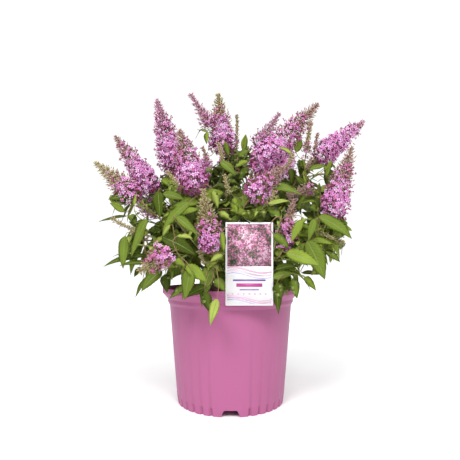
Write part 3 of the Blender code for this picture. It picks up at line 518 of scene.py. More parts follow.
STRAP_PALE = (0.72, 0.75, 0.72)
FLOOR_WHITE = (0.92, 0.92, 0.92)

# Light: each sun's way towards it, its softness in degrees and its power
AMBIENT = 0.32
BACKDROP = 1.05
SUNS = {
    "key_left": ((-0.30, -0.62, 0.72), 20, 1.80),
    "key_right": ((0.24, -0.66, 0.72), 20, 1.45),
    "overhead": ((0.0, -0.2, 1.0), 100, 1.75),
}


# Materials


def new_node(tree, kind, inputs=(), **settings):
    """A node with its settings, and its inputs as values or as sockets to link from."""
    made = tree.nodes.new(kind)
    for name, value in settings.items():
        setattr(made, name, value)
    for key, value in dict(inputs).items():
        if isinstance(value, bpy.types.NodeSocket):
            tree.links.new(value, made.inputs[key])
        else:
            made.inputs[key].default_value = value
    return made


def plain_material(name, color, roughness):
    made = bpy.data.materials.new(name)
    made.use_nodes = True
    shader = made.node_tree.nodes["Principled BSDF"]
    shader.inputs["Base Color"].default_value = (*color, 1)
    shader.inputs["Roughness"].default_value = roughness
    made.diffuse_color = (*color, 1)
    return made, made.node_tree, shader


def shade_of(color, factor):
    return tuple(min(1.0, value * factor) for value in color)


def blend_colors(tree, factor, first, second):
    """A colour between two, by a factor's socket."""
    mix = new_node(tree, "ShaderNodeMix", data_type="RGBA")
    tree.links.new(factor, mix.inputs["Factor"])
    for key, value in (("A", first), ("B", second)):
        socket = next(s for s in mix.inputs if s.name == key and s.type == "RGBA")
        if isinstance(value, bpy.types.NodeSocket):
            tree.links.new(value, socket)
        else:
            socket.default_value = (*value, 1)
    return next(s for s in mix.outputs if s.type == "RGBA")


def noise_of(tree, scale, detail=3.0, stretch=(1, 1, 1), source="Object"):
    """A noise's factor over the object's own coordinates, or its UV map's."""
    place = new_node(tree, "ShaderNodeTexCoord")
    mapping = new_node(tree, "ShaderNodeMapping", {"Vector": place.outputs[source], "Scale": stretch})
    texture = new_node(
        tree, "ShaderNodeTexNoise", {"Vector": mapping.outputs["Vector"], "Scale": scale, "Detail": detail}
    )
    return texture.outputs["Fac"]


def add_bump(tree, shader, height, strength, distance):
    bump = new_node(
        tree, "ShaderNodeBump", {"Height": height, "Strength": strength, "Distance": distance}
    )
    tree.links.new(bump.outputs["Normal"], shader.inputs["Normal"])


def mottled(name, color, roughness, scale, spread=0.18, bump=0.2, relief=0.0003, stretch=(1, 1, 1)):
    """A base colour that wanders a little lighter and darker, over a fine relief."""
    made, tree, shader = plain_material(name, color, roughness)
    factor = noise_of(tree, scale, stretch=stretch)
    mixed = blend_colors(tree, factor, shade_of(color, 1 - spread), shade_of(color, 1 + spread))
    tree.links.new(mixed, shader.inputs["Base Color"])
    add_bump(tree, shader, factor, bump, relief)
    return made


def leaf_material(name, color, vein_light=0.35, roughness=0.55):
    """Leaf skin with curved side veins, sunk a little, and a soft mottle."""
    made, tree, shader = plain_material(name, color, roughness)
    place = new_node(tree, "ShaderNodeUVMap", uv_map="skin")
    split = new_node(tree, "ShaderNodeSeparateXYZ", {"Vector": place.outputs["UV"]})
    across = math_node(tree, "ABSOLUTE", math_node(tree, "SUBTRACT", split.outputs["X"], 0.5))
    along = math_node(tree, "MULTIPLY", split.outputs["Y"], VEINS)
    lean = math_node(tree, "MULTIPLY", across, VEIN_LEAN)
    wave = math_node(tree, "PINGPONG", math_node(tree, "SUBTRACT", along, lean), 0.5)
    vein = math_node(tree, "LESS_THAN", wave, VEIN_HALF)
    patch = noise_of(tree, 45.0)
    ground = blend_colors(tree, patch, shade_of(color, 0.74), shade_of(color, 1.26))
    strength = math_node(tree, "MULTIPLY", vein, vein_light)
    tone = blend_colors(tree, strength, ground, shade_of(color, 1.7))
    tree.links.new(tone, shader.inputs["Base Color"])
    pillow = math_node(tree, "MULTIPLY", wave, 1.6)
    quilt = math_node(tree, "ADD", pillow, math_node(tree, "MULTIPLY", patch, 0.3))
    add_bump(tree, shader, quilt, 0.55, 0.0012)
    shader.inputs["Specular IOR Level"].default_value = 0.12
    return made


def math_node(tree, operation, first, second=None):
    made = new_node(tree, "ShaderNodeMath", {0: first}, operation=operation)
    if second is not None:
        if isinstance(second, bpy.types.NodeSocket):
            tree.links.new(second, made.inputs[1])
        else:
            made.inputs[1].default_value = second
    return made.outputs[0]


def petal_material(name, color):
    """Petal skin, deeper towards the eye and lighter towards its rim."""
    made, tree, shader = plain_material(name, color, 0.6)
    place = new_node(tree, "ShaderNodeUVMap", uv_map="skin")
    split = new_node(tree, "ShaderNodeSeparateXYZ", {"Vector": place.outputs["UV"]})
    rim = math_node(tree, "POWER", split.outputs["X"], 1.6)
    tone = blend_colors(tree, rim, shade_of(color, 0.62), shade_of(color, 1.22))
    tree.links.new(tone, shader.inputs["Base Color"])
    add_bump(tree, shader, noise_of(tree, 600.0), 0.2, 0.0003)
    shader.inputs["Specular IOR Level"].default_value = 0.25
    return made


def pot_material():
    """Satin moulded plastic with faint upright streaks."""
    made, tree, shader = plain_material("pot_pink", POT_PINK, 0.48)
    shader.inputs["Specular IOR Level"].default_value = 0.30
    streaks = noise_of(tree, 1.0, detail=4.0, stretch=(420, 1.5, 1), source="UV")
    soft = noise_of(tree, 22.0)
    streaked = blend_colors(tree, streaks, POT_PINK, POT_STREAK)
    patches = math_node(tree, "MULTIPLY", soft, 0.25)
    tone = blend_colors(tree, patches, streaked, shade_of(POT_PINK, 1.1))
    tree.links.new(tone, shader.inputs["Base Color"])
    add_bump(tree, shader, streaks, 0.05, 0.0002)
    return made


def label_mottle():
    """The label's upper panel: a generic scatter of small flecks, rosy in some parts and green in others."""
    made, tree, shader = plain_material("label_flecks", LABEL_FLECKS[2], 0.3)
    place = new_node(tree, "ShaderNodeTexCoord").outputs["Object"]
    cells = new_node(tree, "ShaderNodeTexVoronoi", {"Vector": place, "Scale": 480.0, "Randomness": 1.0})
    fleck = new_node(tree, "ShaderNodeSeparateColor", {"Color": cells.outputs["Color"]}).outputs["Red"]
    region = math_node(tree, "MULTIPLY", noise_of(tree, 60.0, detail=2.0), 1.1)
    lift = math_node(tree, "SUBTRACT", region, 0.32)
    factor = math_node(tree, "ADD", math_node(tree, "MULTIPLY", fleck, 0.55), lift)
    ramp = new_node(tree, "ShaderNodeValToRGB", {"Fac": factor})
    stops = ramp.color_ramp.elements
    stops.remove(stops[1])
    for number, color in enumerate(LABEL_FLECKS):
        share = 0.18 + 0.64 * number / (len(LABEL_FLECKS) - 1)
        stop = stops.new(share) if number else stops[0]
        stop.position = share
        stop.color = (*color, 1)
    tree.links.new(ramp.outputs["Color"], shader.inputs["Base Color"])
    return made


# Joined pieces


class Batch:
    """Many small shapes joined into pieces that each stay under the limit of triangles."""

    def __init__(self, name, finishes, slot, stands_for=()):
        self.name = name
        self.finishes = finishes
        self.index = {finish.name: number for number, finish in enumerate(finishes)}
        self.slot = slot
        self.stands_for = stands_for
        self.made = 0
        self.start()

    def start(self):
        self.points = []
        self.places = []
        self.faces = []
        self.kinds = []
        self.count = 0
        self.triangles = 0

    def add(self, points, faces, kinds, places=None):
        """Points, faces as tuples of their numbers, each face's material, and each point's UV."""
        triangles = sum(len(face) - 2 for face in faces)
        if self.triangles + triangles > PIECE_TRIANGLES:
            self.finish()
        base = self.count
        self.points.append(np.asarray(points, float))
        self.places.append(np.zeros((len(points), 2)) if places is None else np.asarray(places, float))
        self.faces.extend(tuple(base + corner for corner in face) for face in faces)
        self.kinds.extend([self.index[kinds]] * len(faces) if isinstance(kinds, str)
                          else [self.index[kind] for kind in kinds])
        self.count += len(points)
        self.triangles += triangles

    def finish(self):
        if not self.faces:
            return
        self.made += 1
        name = f"{self.name}_{self.made}"
        mesh = bpy.data.meshes.new(name)
        mesh.from_pydata((np.concatenate(self.points) + np.array(CENTRE)).tolist(), [], self.faces)
        for finish in self.finishes:
            mesh.materials.append(finish)
        mesh.polygons.foreach_set("material_index", self.kinds)
        mesh.polygons.foreach_set("use_smooth", [True] * len(self.faces))
        set_places(mesh, "skin", np.concatenate(self.places))
        mesh.update()
        place_piece(name, mesh, self.stands_for)
        self.start()


def set_places(mesh, name, places):
    """Gives a mesh a UV map with one place for each of its points."""
    corners = np.empty(len(mesh.loops), np.int32)
    mesh.loops.foreach_get("vertex_index", corners)
    layer = mesh.uv_layers.new(name=name)
    layer.data.foreach_set("uv", np.array(places, np.float32)[corners].ravel())


def place_piece(name, mesh, stands_for=()):
    piece = bpy.data.objects.new(name, mesh)
    bpy.context.scene.collection.objects.link(piece)
    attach(piece, "root")
    if stands_for:
        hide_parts(*stands_for)
    return piece


# Curved paths


def bend(start, start_way, end, end_way, count):
    """Points on a smooth bow from start to end that leaves and arrives along the two directions."""
    reach = (end - start).length * 0.38
    pull = start + start_way.normalized() * reach
    push = end - end_way.normalized() * reach
    points = []
    for step in range(count):
        t = step / (count - 1)
        s = 1 - t
        points.append(s ** 3 * start + 3 * s * s * t * pull + 3 * s * t * t * push + t ** 3 * end)
    return points


def bend_on(start, way, end, end_way, count):
    """A bow that begins with a short straight lead."""
    return [start] + bend(start + way * LEAD, way, end, end_way, count - 1)


def taper(base, tip, count):
    return [base + (tip - base) * step / (count - 1) for step in range(count)]


def way_at(points, share):
    """Place and direction at a share of the way along a path."""
    lengths = [(b - a).length for a, b in zip(points, points[1:])]
    left = share * sum(lengths)
    for a, b, length in zip(points, points[1:], lengths):
        if left <= length:
            return a.lerp(b, left / length), (b - a).normalized()
        left -= length
    return points[-1].copy(), (points[-1] - points[-2]).normalized()


def radius_at(points, radii, share):
    places = np.cumsum([0] + [(b - a).length for a, b in zip(points, points[1:])])
    return float(np.interp(share * places[-1], places, radii))


def path_length(points):
    return sum((b - a).length for a, b in zip(points, points[1:]))


def smooth_path(points, step):
    """The path again, rounded through its points, with a point about every step."""
    knots = [points[0] * 2 - points[1]] + list(points) + [points[-1] * 2 - points[-2]]
    made = []
    for a, b, c, d in zip(knots, knots[1:], knots[2:], knots[3:]):
        count = max(1, round((c - b).length / step))
        for number in range(count):
            t = number / count
            made.append(0.5 * (2 * b + (c - a) * t + (2 * a - 5 * b + 4 * c - d) * t * t
                               + (3 * b - a - 3 * c + d) * t ** 3))
    return made + [points[-1].copy()]


def bark_relief(angle, reach, seed):
    """How far bark stands out at an angle round its limb and a reach along it, for a relief of one."""
    across, along = BARK_RIDGES
    ridge = Vector((math.cos(angle) * across, math.sin(angle) * across, reach * along + seed))
    turns, metres, share = BARK_SWELLS
    swell = Vector((angle * turns, seed, reach * metres))
    return noise.noise(ridge) + share * noise.noise(swell)


def tube(path, radii, sides, relief=0.0, seed=0.0):
    """Points, faces and UVs of a closed tube whose rings turn smoothly along its path."""
    points = []
    places = []
    side = None
    reach = 0.0
    for number, (place, radius) in enumerate(zip(path, radii)):
        ahead = (path[min(number + 1, len(path) - 1)] - path[max(number - 1, 0)]).normalized()
        side = ahead.orthogonal() if side is None else side - ahead * side.dot(ahead)
        side.normalize()
        over = ahead.cross(side)
        reach += (place - path[max(number - 1, 0)]).length
        for turn in range(sides):
            angle = math.tau * turn / sides
            out = side * math.cos(angle) + over * math.sin(angle)
            grow = relief * bark_relief(angle, reach, seed) if relief else 0.0
            points.append(place + out * (radius + grow))
            places.append((turn / sides, reach * 20))
    faces = ring_faces(len(path), sides)
    faces.append(tuple(reversed(range(sides))))
    faces.append(tuple((len(path) - 1) * sides + turn for turn in range(sides)))
    return points, faces, places


def ring_faces(rings, sides):
    """Faces that join each ring of points to the next."""
    return [
        (ring * sides + turn, ring * sides + (turn + 1) % sides,
         (ring + 1) * sides + (turn + 1) % sides, (ring + 1) * sides + turn)
        for ring in range(rings - 1)
        for turn in range(sides)
    ]


def add_limb(batch, kind, path, radii, sides, step, relief=0.0, seed=0.0):
    """A tapering limb along a path, with its radii spread evenly over the path's length."""
    fine = smooth_path(path, step)
    places = np.cumsum([0] + [(b - a).length for a, b in zip(path, path[1:])])
    lengths = np.cumsum([0] + [(b - a).length for a, b in zip(fine, fine[1:])])
    spread = np.interp(lengths / lengths[-1] * places[-1], places, radii)
    points, faces, uvs = tube(fine, spread, sides, relief, seed)
    batch.add(points, faces, kind, uvs)


# The pot, the potting mix and the label


def pot_angles():
    """Bearings of the pot's upright rows of points, closer together in each groove of its foot."""
    angles = []
    for quarter in range(NOTCHES):
        start = quarter * 360 / NOTCHES
        grooves = [start + GROOVE_FIRST + GROOVE_STEP * number for number in range(GROOVES)]
        angles += [groove + GROOVE_HALF * share for groove in grooves for share in GROOVE_SHARES]
        for number in range(round(360 / NOTCHES / POT_STEP)):
            angle = start + POT_STEP * number
            if min(abs(angle - groove) for groove in grooves) > GROOVE_HALF * GROOVE_CLEAR:
                angles.append(angle)
    return sorted(angles)


def groove_depth(degrees):
    """How deep the foot is grooved at a bearing, from 0 between the grooves to 1 in the middle of one."""
    turn = degrees % (360 / NOTCHES)
    gap = min(abs(turn - GROOVE_FIRST - GROOVE_STEP * number) for number in range(GROOVES))
    return math.cos(math.pi / 2 * min(1.0, gap / GROOVE_HALF)) ** 1.5


def pot_radius(height, degrees):
    """Radius of the pot's outer wall, grooved at its foot."""
    heights = (0, FOOT_TOP[1], WALL_TOP[1])
    plain = float(np.interp(height, heights, (FOOT_RADIUS, FOOT_TOP[0], WALL_TOP[0])))
    fade = min(1.0, max(0.0, (GROOVE_TOP - height) / GROOVE_FADE))
    return plain - GROOVE_DEPTH * fade * groove_depth(degrees)


def pot_rings():
    """Radius and height of rings from the middle of the floor, up inside, over the lip and down outside."""
    inner = FOOT_TOP[0] - POT_WALL
    rings = [
        (FLOOR_MIDDLE, FLOOR_TOP),
        (inner - FLOOR_ROUND[0], FLOOR_TOP),
        (inner, FLOOR_TOP + FLOOR_ROUND[1]),
        (WALL_TOP[0] - POT_WALL, WALL_TOP[1]),
        (BAND_RADIUS - POT_WALL, BAND_TOP + LIP_ROUND),
        (LIP_RADIUS - LIP_THICK, LIP_BOTTOM + LIP_ROUND),
        (LIP_RADIUS - LIP_THICK, LIP_TOP - LIP_ROUND),
    ]
    middle = LIP_RADIUS - LIP_THICK / 2
    for turn in range(7):
        angle = math.pi * (1 - turn / 6)
        height = LIP_TOP - LIP_ROUND * (1 - math.sin(angle))
        rings.append((middle + LIP_THICK / 2 * math.cos(angle), height))
    rings += [
        (LIP_RADIUS, LIP_BOTTOM + LIP_EASE),
        (LIP_RADIUS - LIP_EASE, LIP_BOTTOM),
        (BAND_RADIUS + BAND_EASE, BAND_TOP + LIP_EASE),
        (BAND_RADIUS, BAND_TOP),
        (BAND_RADIUS, BAND_BOTTOM),
        (BAND_RADIUS - BAND_EASE, BAND_BOTTOM - BAND_EASE),
        (WALL_TOP[0] + BAND_EASE, WALL_TOP[1] + BAND_EASE),
        WALL_TOP,
    ]
    return rings


def make_pot():
    """The pot's wall, lip, floor and grooved foot as one skin, with its drainage notches cut out."""
    angles = pot_angles()
    steps = len(angles)
    ring_in = FOOT_RADIUS - FOOT_RING_WIDTH
    rings = pot_rings()  # the grooved ones that follow have no radius of their own
    rings += [(None, GROOVE_TOP * (1 - ring / GROOVE_RINGS)) for ring in range(GROOVE_RINGS + 1)]
    rings += [(ring_in, 0.0), (ring_in, FLOOR_BOTTOM), (FLOOR_MIDDLE, FLOOR_BOTTOM)]
    points = []
    places = []
    for radius, height in rings:
        for angle in angles:
            reach = radius or pot_radius(height, angle)
            lift = 0.0 if radius or height else GROOVE_LIFT * groove_depth(angle)
            points.append(on_bearing(angle, reach, height + lift))
            places.append((angle / 360, height))
    faces = [(a, d, c, b) for a, b, c, d in ring_faces(len(rings), steps)]
    faces.append(tuple(range(steps)))
    faces.append(tuple(reversed(range((len(rings) - 1) * steps, len(rings) * steps))))
    mesh = bpy.data.meshes.new("pot_skin")
    mesh.from_pydata(points, [], faces)
    mesh.materials.append(pot_material())
    set_places(mesh, "around", places)
    tidy_normals(mesh)
    pot = bpy.data.objects.new("pot_skin", mesh)
    bpy.context.scene.collection.objects.link(pot)
    cutters = [notch_cutter(number) for number in range(NOTCHES)]
    for cutter in cutters:
        cut = pot.modifiers.new(cutter.name, "BOOLEAN")
        cut.operation = "DIFFERENCE"
        cut.solver = "EXACT"
        cut.object = cutter
    bpy.context.view_layer.update()
    whole = bpy.data.meshes.new_from_object(pot.evaluated_get(bpy.context.evaluated_depsgraph_get()))
    for thing in (pot, *cutters):
        bpy.data.objects.remove(thing, do_unlink=True)
    whole.transform(Matrix.Translation(CENTRE))
    whole.polygons.foreach_set("use_smooth", [True] * len(whole.polygons))
    whole.set_sharp_from_angle(angle=math.radians(SHARP_DEGREES))
    place_piece("pot_moulded", whole, ["pot"])


def tidy_normals(mesh):
    form = bmesh.new()
    form.from_mesh(mesh)
    bmesh.ops.recalc_face_normals(form, faces=form.faces)
    if form.calc_volume(signed=True) < 0:
        bmesh.ops.reverse_faces(form, faces=form.faces)
    form.to_mesh(mesh)
    form.free()


def notch_cutter(number):
    """A drainage notch through the foot ring, narrower at its top."""
    form = bmesh.new()
    bmesh.ops.create_cube(form, size=1)
    for vertex in form.verts:
        top = vertex.co.z > 0
        vertex.co.x *= NOTCH_TOP_WIDTH if top else NOTCH_WIDTH
        vertex.co.y = -FOOT_RADIUS + vertex.co.y * 4 * FOOT_RING_WIDTH
        vertex.co.z = NOTCH_HEIGHT if top else -NOTCH_HEIGHT
    corners = [edge for edge in form.edges if all(v.co.z > 0 for v in edge.verts)
               and abs(edge.verts[0].co.x - edge.verts[1].co.x) < 1e-6]
    bmesh.ops.bevel(form, geom=corners, offset=NOTCH_ROUND, segments=4, affect="EDGES", profile=0.5)
    bmesh.ops.rotate(form, verts=form.verts, matrix=Matrix.Rotation(number * math.tau / NOTCHES, 3, "Z"))
    mesh = bpy.data.meshes.new(f"notch_{number + 1}")
    form.to_mesh(mesh)
    form.free()
    cutter = bpy.data.objects.new(mesh.name, mesh)
    bpy.context.scene.collection.objects.link(cutter)
    return cutter


def pot_inside_radius(height):
    low = (FOOT_TOP[0] - POT_WALL, FLOOR_TOP)
    high = (WALL_TOP[0] - POT_WALL, WALL_TOP[1])
    return low[0] + (high[0] - low[0]) * (height - low[1]) / (high[1] - low[1])


def make_soil():
    """The mix as one lumpy body, with loose crumbs sunk in its top."""
    draw = random.Random(3)
    body = mottled("mix_brown", SOIL_BROWN, 0.95, 160.0, spread=0.45, bump=0.9, relief=0.0012)
    light = mottled("mix_bark", SOIL_LIGHT, 0.92, 260.0, spread=0.35, bump=0.8, relief=0.0008)
    batch = Batch("potting_mix_top", [body, light], "potting_mix", ["potting_mix"])
    edge_radius = pot_inside_radius(SOIL_TOP - SOIL_EDGE_DROP) - TOUCH_GAP
    points = [(0, 0, SOIL_TOP)]
    for ring in range(1, SOIL_RINGS + 1):
        share = ring / SOIL_RINGS
        for turn in range(SOIL_STEPS):
            angle = math.tau * turn / SOIL_STEPS
            x, y = edge_radius * share * math.cos(angle), edge_radius * share * math.sin(angle)
            lump = noise.noise(Vector((x, y, 0)) * 90) + 0.6 * noise.noise(Vector((x, y, 1)) * 230)
            height = SOIL_TOP - SOIL_EDGE_DROP * share ** 3 + SOIL_LUMP * lump * (1 - share ** 6)
            points.append((x, y, height))
    bottom = FLOOR_TOP + TOUCH_GAP
    for turn in range(SOIL_STEPS):
        angle = math.tau * turn / SOIL_STEPS
        radius = pot_inside_radius(bottom) - TOUCH_GAP
        points.append((radius * math.cos(angle), radius * math.sin(angle), bottom))
    faces = [(0, 1 + turn, 1 + (turn + 1) % SOIL_STEPS) for turn in range(SOIL_STEPS)]
    for ring in range(SOIL_RINGS):
        for turn in range(SOIL_STEPS):
            a = 1 + ring * SOIL_STEPS + turn
            b = 1 + ring * SOIL_STEPS + (turn + 1) % SOIL_STEPS
            faces.append((a, a + SOIL_STEPS, b + SOIL_STEPS, b))
    faces.append(tuple(reversed(range(1 + SOIL_RINGS * SOIL_STEPS, 1 + (SOIL_RINGS + 1) * SOIL_STEPS))))
    batch.add(points, faces, "mix_brown")
    for _ in range(CRUMBS):
        reach = edge_radius * 0.97 * math.sqrt(draw.random())
        place = on_bearing(draw.uniform(0, 360), reach, 0)
        place.z = SOIL_TOP - SOIL_EDGE_DROP * (reach / edge_radius) ** 3 + draw.uniform(*CRUMB_SUNK)
        add_crumb(batch, place, draw)
    batch.finish()


def add_crumb(batch, place, draw):
    """One rough chip: an eight-faced lump, longer than it is thick."""
    spin = Matrix.Rotation(draw.uniform(0, math.tau), 3, "Z")
    turn = spin @ Matrix.Rotation(draw.uniform(-0.5, 0.5), 3, "X")
    size = [draw.uniform(*span) for span in CRUMB_SIZE]
    corners = ((1, 0, 0), (0, 1, 0), (-1, 0, 0), (0, -1, 0), (0.1, 0, 1), (0, 0.1, -1))
    points = [place + turn @ Vector([c * s for c, s in zip(corner, size)]) for corner in corners]
    faces = [(a, (a + 1) % 4, 4) for a in range(4)] + [((a + 1) % 4, a, 5) for a in range(4)]
    batch.add(points, faces, draw.choice(("mix_brown", "mix_brown", "mix_bark")))


def label_outline():
    """Corners of the card in its own plane, with the nick at the middle of its top edge."""
    left = LABEL_LEFT
    right = LABEL_LEFT + LABEL_WIDTH
    low = LABEL_BOTTOM
    top = LABEL_BOTTOM + LABEL_HEIGHT
    middle = LABEL_LEFT + LABEL_WIDTH / 2
    points = []
    for x, z, start in (
        (left + LABEL_CORNER, low + LABEL_CORNER, 180),
        (right - LABEL_CORNER, low + LABEL_CORNER, 270),
        (right - LABEL_CORNER, top - LABEL_CORNER, 0),
        (left + LABEL_CORNER, top - LABEL_CORNER, 90),
    ):
        for turn in range(0, 91, 15):
            angle = math.radians(start + turn)
            points.append((x + LABEL_CORNER * math.cos(angle), z + LABEL_CORNER * math.sin(angle)))
        if start == 0:
            points += [(middle + NICK_WIDTH / 2, top), (middle, top - NICK_DEPTH)]
            points.append((middle - NICK_WIDTH / 2, top))
    return points


def strap_path(hang_place):
    """Up one side of the strap, over the shoot that it hangs on and down the other side, sunk in the card."""
    foot_height = LABEL_BOTTOM + LABEL_HEIGHT - STRAP_FOOT_DEPTH - NICK_DEPTH
    front = -LIP_RADIUS - TOUCH_GAP - LABEL_THICK / 2
    foot = Vector((LABEL_LEFT + LABEL_WIDTH / 2, front, foot_height))
    lean = (hang_place - foot).normalized()
    side = lean.cross(Vector((0, 1, 0))).normalized() * STRAP_HALF_WIDTH
    top = hang_place + lean * (SHOOT_RADIUS + STRAP_RADIUS + TOUCH_GAP)
    rise = top - foot - lean * STRAP_HALF_WIDTH
    arch_middle = foot + rise
    points = [foot - side, foot - side + rise * 0.5]
    for turn in range(7):
        angle = math.pi * (1 - turn / 6)
        points.append(arch_middle + side * math.cos(angle) + lean * STRAP_HALF_WIDTH * math.sin(angle))
    points += [foot + side + rise * 0.5, foot + side]
    return points


def add_slab(batch, outline, front, thick, kind):
    """An upright slab from its outline in the XZ plane, its face at y = front."""
    count = len(outline)
    points = [(x, front, z) for x, z in outline] + [(x, front + thick, z) for x, z in outline]
    faces = [tuple(range(count)), tuple(reversed(range(count, 2 * count)))]
    faces += [((n + 1) % count, n, n + count, (n + 1) % count + count) for n in range(count)]
    batch.add(points, faces, kind)


def clipped_band(left, right, low, high, base, width):
    """Corners of a waving band across a panel, cut off at the panel's lower and upper edges."""
    def level(x, offset):
        turns = BAND_TURNS[0] + BAND_TURNS[1] * (x - left) / (right - left)
        return min(high, max(low, base + offset + BAND_WAVE * math.sin(math.tau * turns)))
    xs = [left + (right - left) * step / BAND_STEPS for step in range(BAND_STEPS + 1)]
    lower = [(x, level(x, 0)) for x in xs]
    upper = [(x, level(x, width)) for x in reversed(xs)]
    return lower + upper


def make_label(strap):
    """The card with its printed panel, bands, bars and dots, and its strap."""
    card = mottled("label_card", LABEL_WHITE, 0.30, 300.0, spread=0.015, bump=0.05, relief=0.0001)
    finishes = [card, label_mottle()]
    for name, color in LABEL_COLORS.items():
        finishes.append(mottled(name, color, 0.30, 300.0, spread=0.03, bump=0.05, relief=0.0001))
    finishes.append(mottled("label_strap", STRAP_PALE, 0.25, 200.0, spread=0.05))
    batch = Batch("label_card", finishes, "label", ["plant_label"])
    back = -LIP_RADIUS - TOUCH_GAP
    front = back - LABEL_THICK
    add_slab(batch, label_outline(), front, LABEL_THICK, "label_card")
    left = LABEL_LEFT + LABEL_BORDER
    right = LABEL_LEFT + LABEL_WIDTH - LABEL_BORDER
    low = LABEL_BOTTOM + LABEL_BORDER
    top = LABEL_BOTTOM + LABEL_HEIGHT - LABEL_BORDER
    split = low + (top - low) * LABEL_SPLIT
    panel = [(left, split), (right, split), (right, top), (left, top)]
    add_slab(batch, panel, front - LABEL_PRINT, LABEL_PRINT, "label_flecks")
    for kind, base, width in LABEL_BANDS:
        band = clipped_band(left, right, low, split - LABEL_SEAM, low + base, width)
        add_slab(batch, band, front - LABEL_PRINT, LABEL_PRINT, kind)
    for kind, height, thick, inset in LABEL_BARS:
        z = low + height
        bar = [(left + inset, z), (right - inset, z), (right - inset, z + thick), (left + inset, z + thick)]
        add_slab(batch, bar, front - 2 * LABEL_PRINT, LABEL_PRINT * 2, kind)
    for number in range(LABEL_DOTS):
        x = left + (right - left) * (number + 1) / (LABEL_DOTS + 1)
        z = low + LABEL_DOT_HEIGHT
        dot = []
        for turn in range(LABEL_DOT_SIDES):
            angle = math.tau * turn / LABEL_DOT_SIDES
            dot.append((x + LABEL_DOT_RADIUS * math.cos(angle), z + LABEL_DOT_RADIUS * math.sin(angle)))
        add_slab(batch, dot, front - 2 * LABEL_PRINT, LABEL_PRINT * 2, "label_rose")
    fine = smooth_path(strap, STRAP_STEP)
    points, faces, uvs = tube(fine, [STRAP_RADIUS] * len(fine), STRAP_SIDES)
    batch.add(points, faces, "label_strap", uvs)
    batch.finish()


# The plant's frame of stems, boughs and shoots


class Shoot:
    """One shoot: its path, its radius at the foot, and the flower head that it may carry."""

    def __init__(self, path, radius, head=None):
        self.path = path
        self.radius = radius
        self.head = head


class Head:
    """A flower head from foot to tip, with its widest radius, its fullness as a share of that, its stage
    (the share of it that is open) and its buds' tint."""

    def __init__(self, tip, foot, radius, full, stage, tint):
        self.tip = Vector(tip)
        self.foot = Vector(foot)
        self.radius = radius
        self.full = full
        self.stage = stage
        self.tint = tint

    def axis(self):
        return (self.tip - self.foot).normalized()

    def length(self):
        return (self.tip - self.foot).length

    def outline(self, share):
        """Radius at a share of the way from foot to tip: full low down, then narrowing to a slim tip."""
        rise = min(1.0, (share + 0.05) / 0.17)
        fall = (1 - share) ** 0.72
        return self.radius * (0.20 + 0.80 * rise) * (0.16 + 0.84 * fall) if share < 1 else 0.0

    def bloom(self, share):
        """Radius that the florets and buds reach."""
        return self.full * self.outline(share)


def on_bearing(degrees, reach, height):
    angle = math.radians(degrees)
    return Vector((reach * math.cos(angle), reach * math.sin(angle), height))


def bearing(x, y):
    return math.degrees(math.atan2(y, x)) % 360


def stem_radii(path):
    radii = taper(STEM_NECK_RADIUS, STEM_TIP_RADIUS, len(path))
    radii[0] = STEM_BASE_RADIUS
    return radii


def middle_radius(radius, sides):
    return radius * (1 + math.cos(math.pi / sides)) / 2


def stem_paths():
    """Each main stem's path from its flat cut on the potting mix to its fork."""
    draw = random.Random(5)
    paths = {}
    for name, degrees in STEMS.items():
        reach = STEM_RING if degrees is not None else 0.0
        degrees = degrees or 0
        foot = on_bearing(degrees, reach * draw.uniform(0.9, 1.1), SOIL_TOP + TOUCH_GAP)
        lean = STEM_LEAN if reach else 0.05
        top = foot + on_bearing(degrees, STEM_HEIGHT * lean, STEM_HEIGHT * draw.uniform(0.95, 1.05))
        paths[name] = bend_on(foot, UP, top, top - foot, 6)
    return paths


def head_table():
    """Masses in order: name, stem and heads, those that show first and the hidden side's after them."""
    masses = {}
    for stem, mass, tip, foot, radius, full, stage, tint in HEADS:
        masses.setdefault(mass, (stem, []))[1].append(Head(tip, foot, radius, full, stage, tint))
    draw = random.Random(11)
    for number, (stem, degrees) in enumerate(zip(BACK_STEMS, BACK_BEARINGS)):
        heads = []
        for (foot_reach, foot_height, tip_reach, tip_height), radius, turn in zip(
            (BACK_HIGH, BACK_LOW), BACK_RADIUS, BACK_TURNS
        ):
            angle = degrees + turn + draw.uniform(-3, 3)
            grow = draw.uniform(0.94, 1.05)
            tip = on_bearing(angle + draw.uniform(-4, 4), tip_reach * grow, tip_height * grow)
            foot = on_bearing(angle, foot_reach * grow, foot_height * grow)
            tint = BACK_TINTS[number % 2]
            heads.append(Head(tip, foot, radius * draw.uniform(0.85, 1.05), BACK_FULL, BACK_STAGE, tint))
        masses[f"back_{number + 1}"] = (stem, heads)
    return masses


def bough_start(stem, rank, target):
    """Where a bough leaves its stem: the first goes on from the tip, the rest from its side, lower down."""
    if rank == 0:
        tip, way = way_at(stem, 1.0)
        return tip + way * TOUCH_GAP, way
    share = 1 - rank * FORK_STEP / path_length(stem)
    place, way = way_at(stem, share)
    out = target - place
    out = (out - way * out.dot(way)).normalized()
    slope = math.radians(FORK_DEGREES)
    bough_way = out * math.sin(slope) + way * math.cos(slope)
    stem_radius = middle_radius(radius_at(stem, stem_radii(stem), share), STEM_SIDES)
    bough_radius = middle_radius(BOUGH_RADIUS, BOUGH_SIDES)
    clear = (stem_radius + FORK_GAP + bough_radius * math.cos(slope)) / math.sin(slope)
    return place + bough_way * clear, bough_way


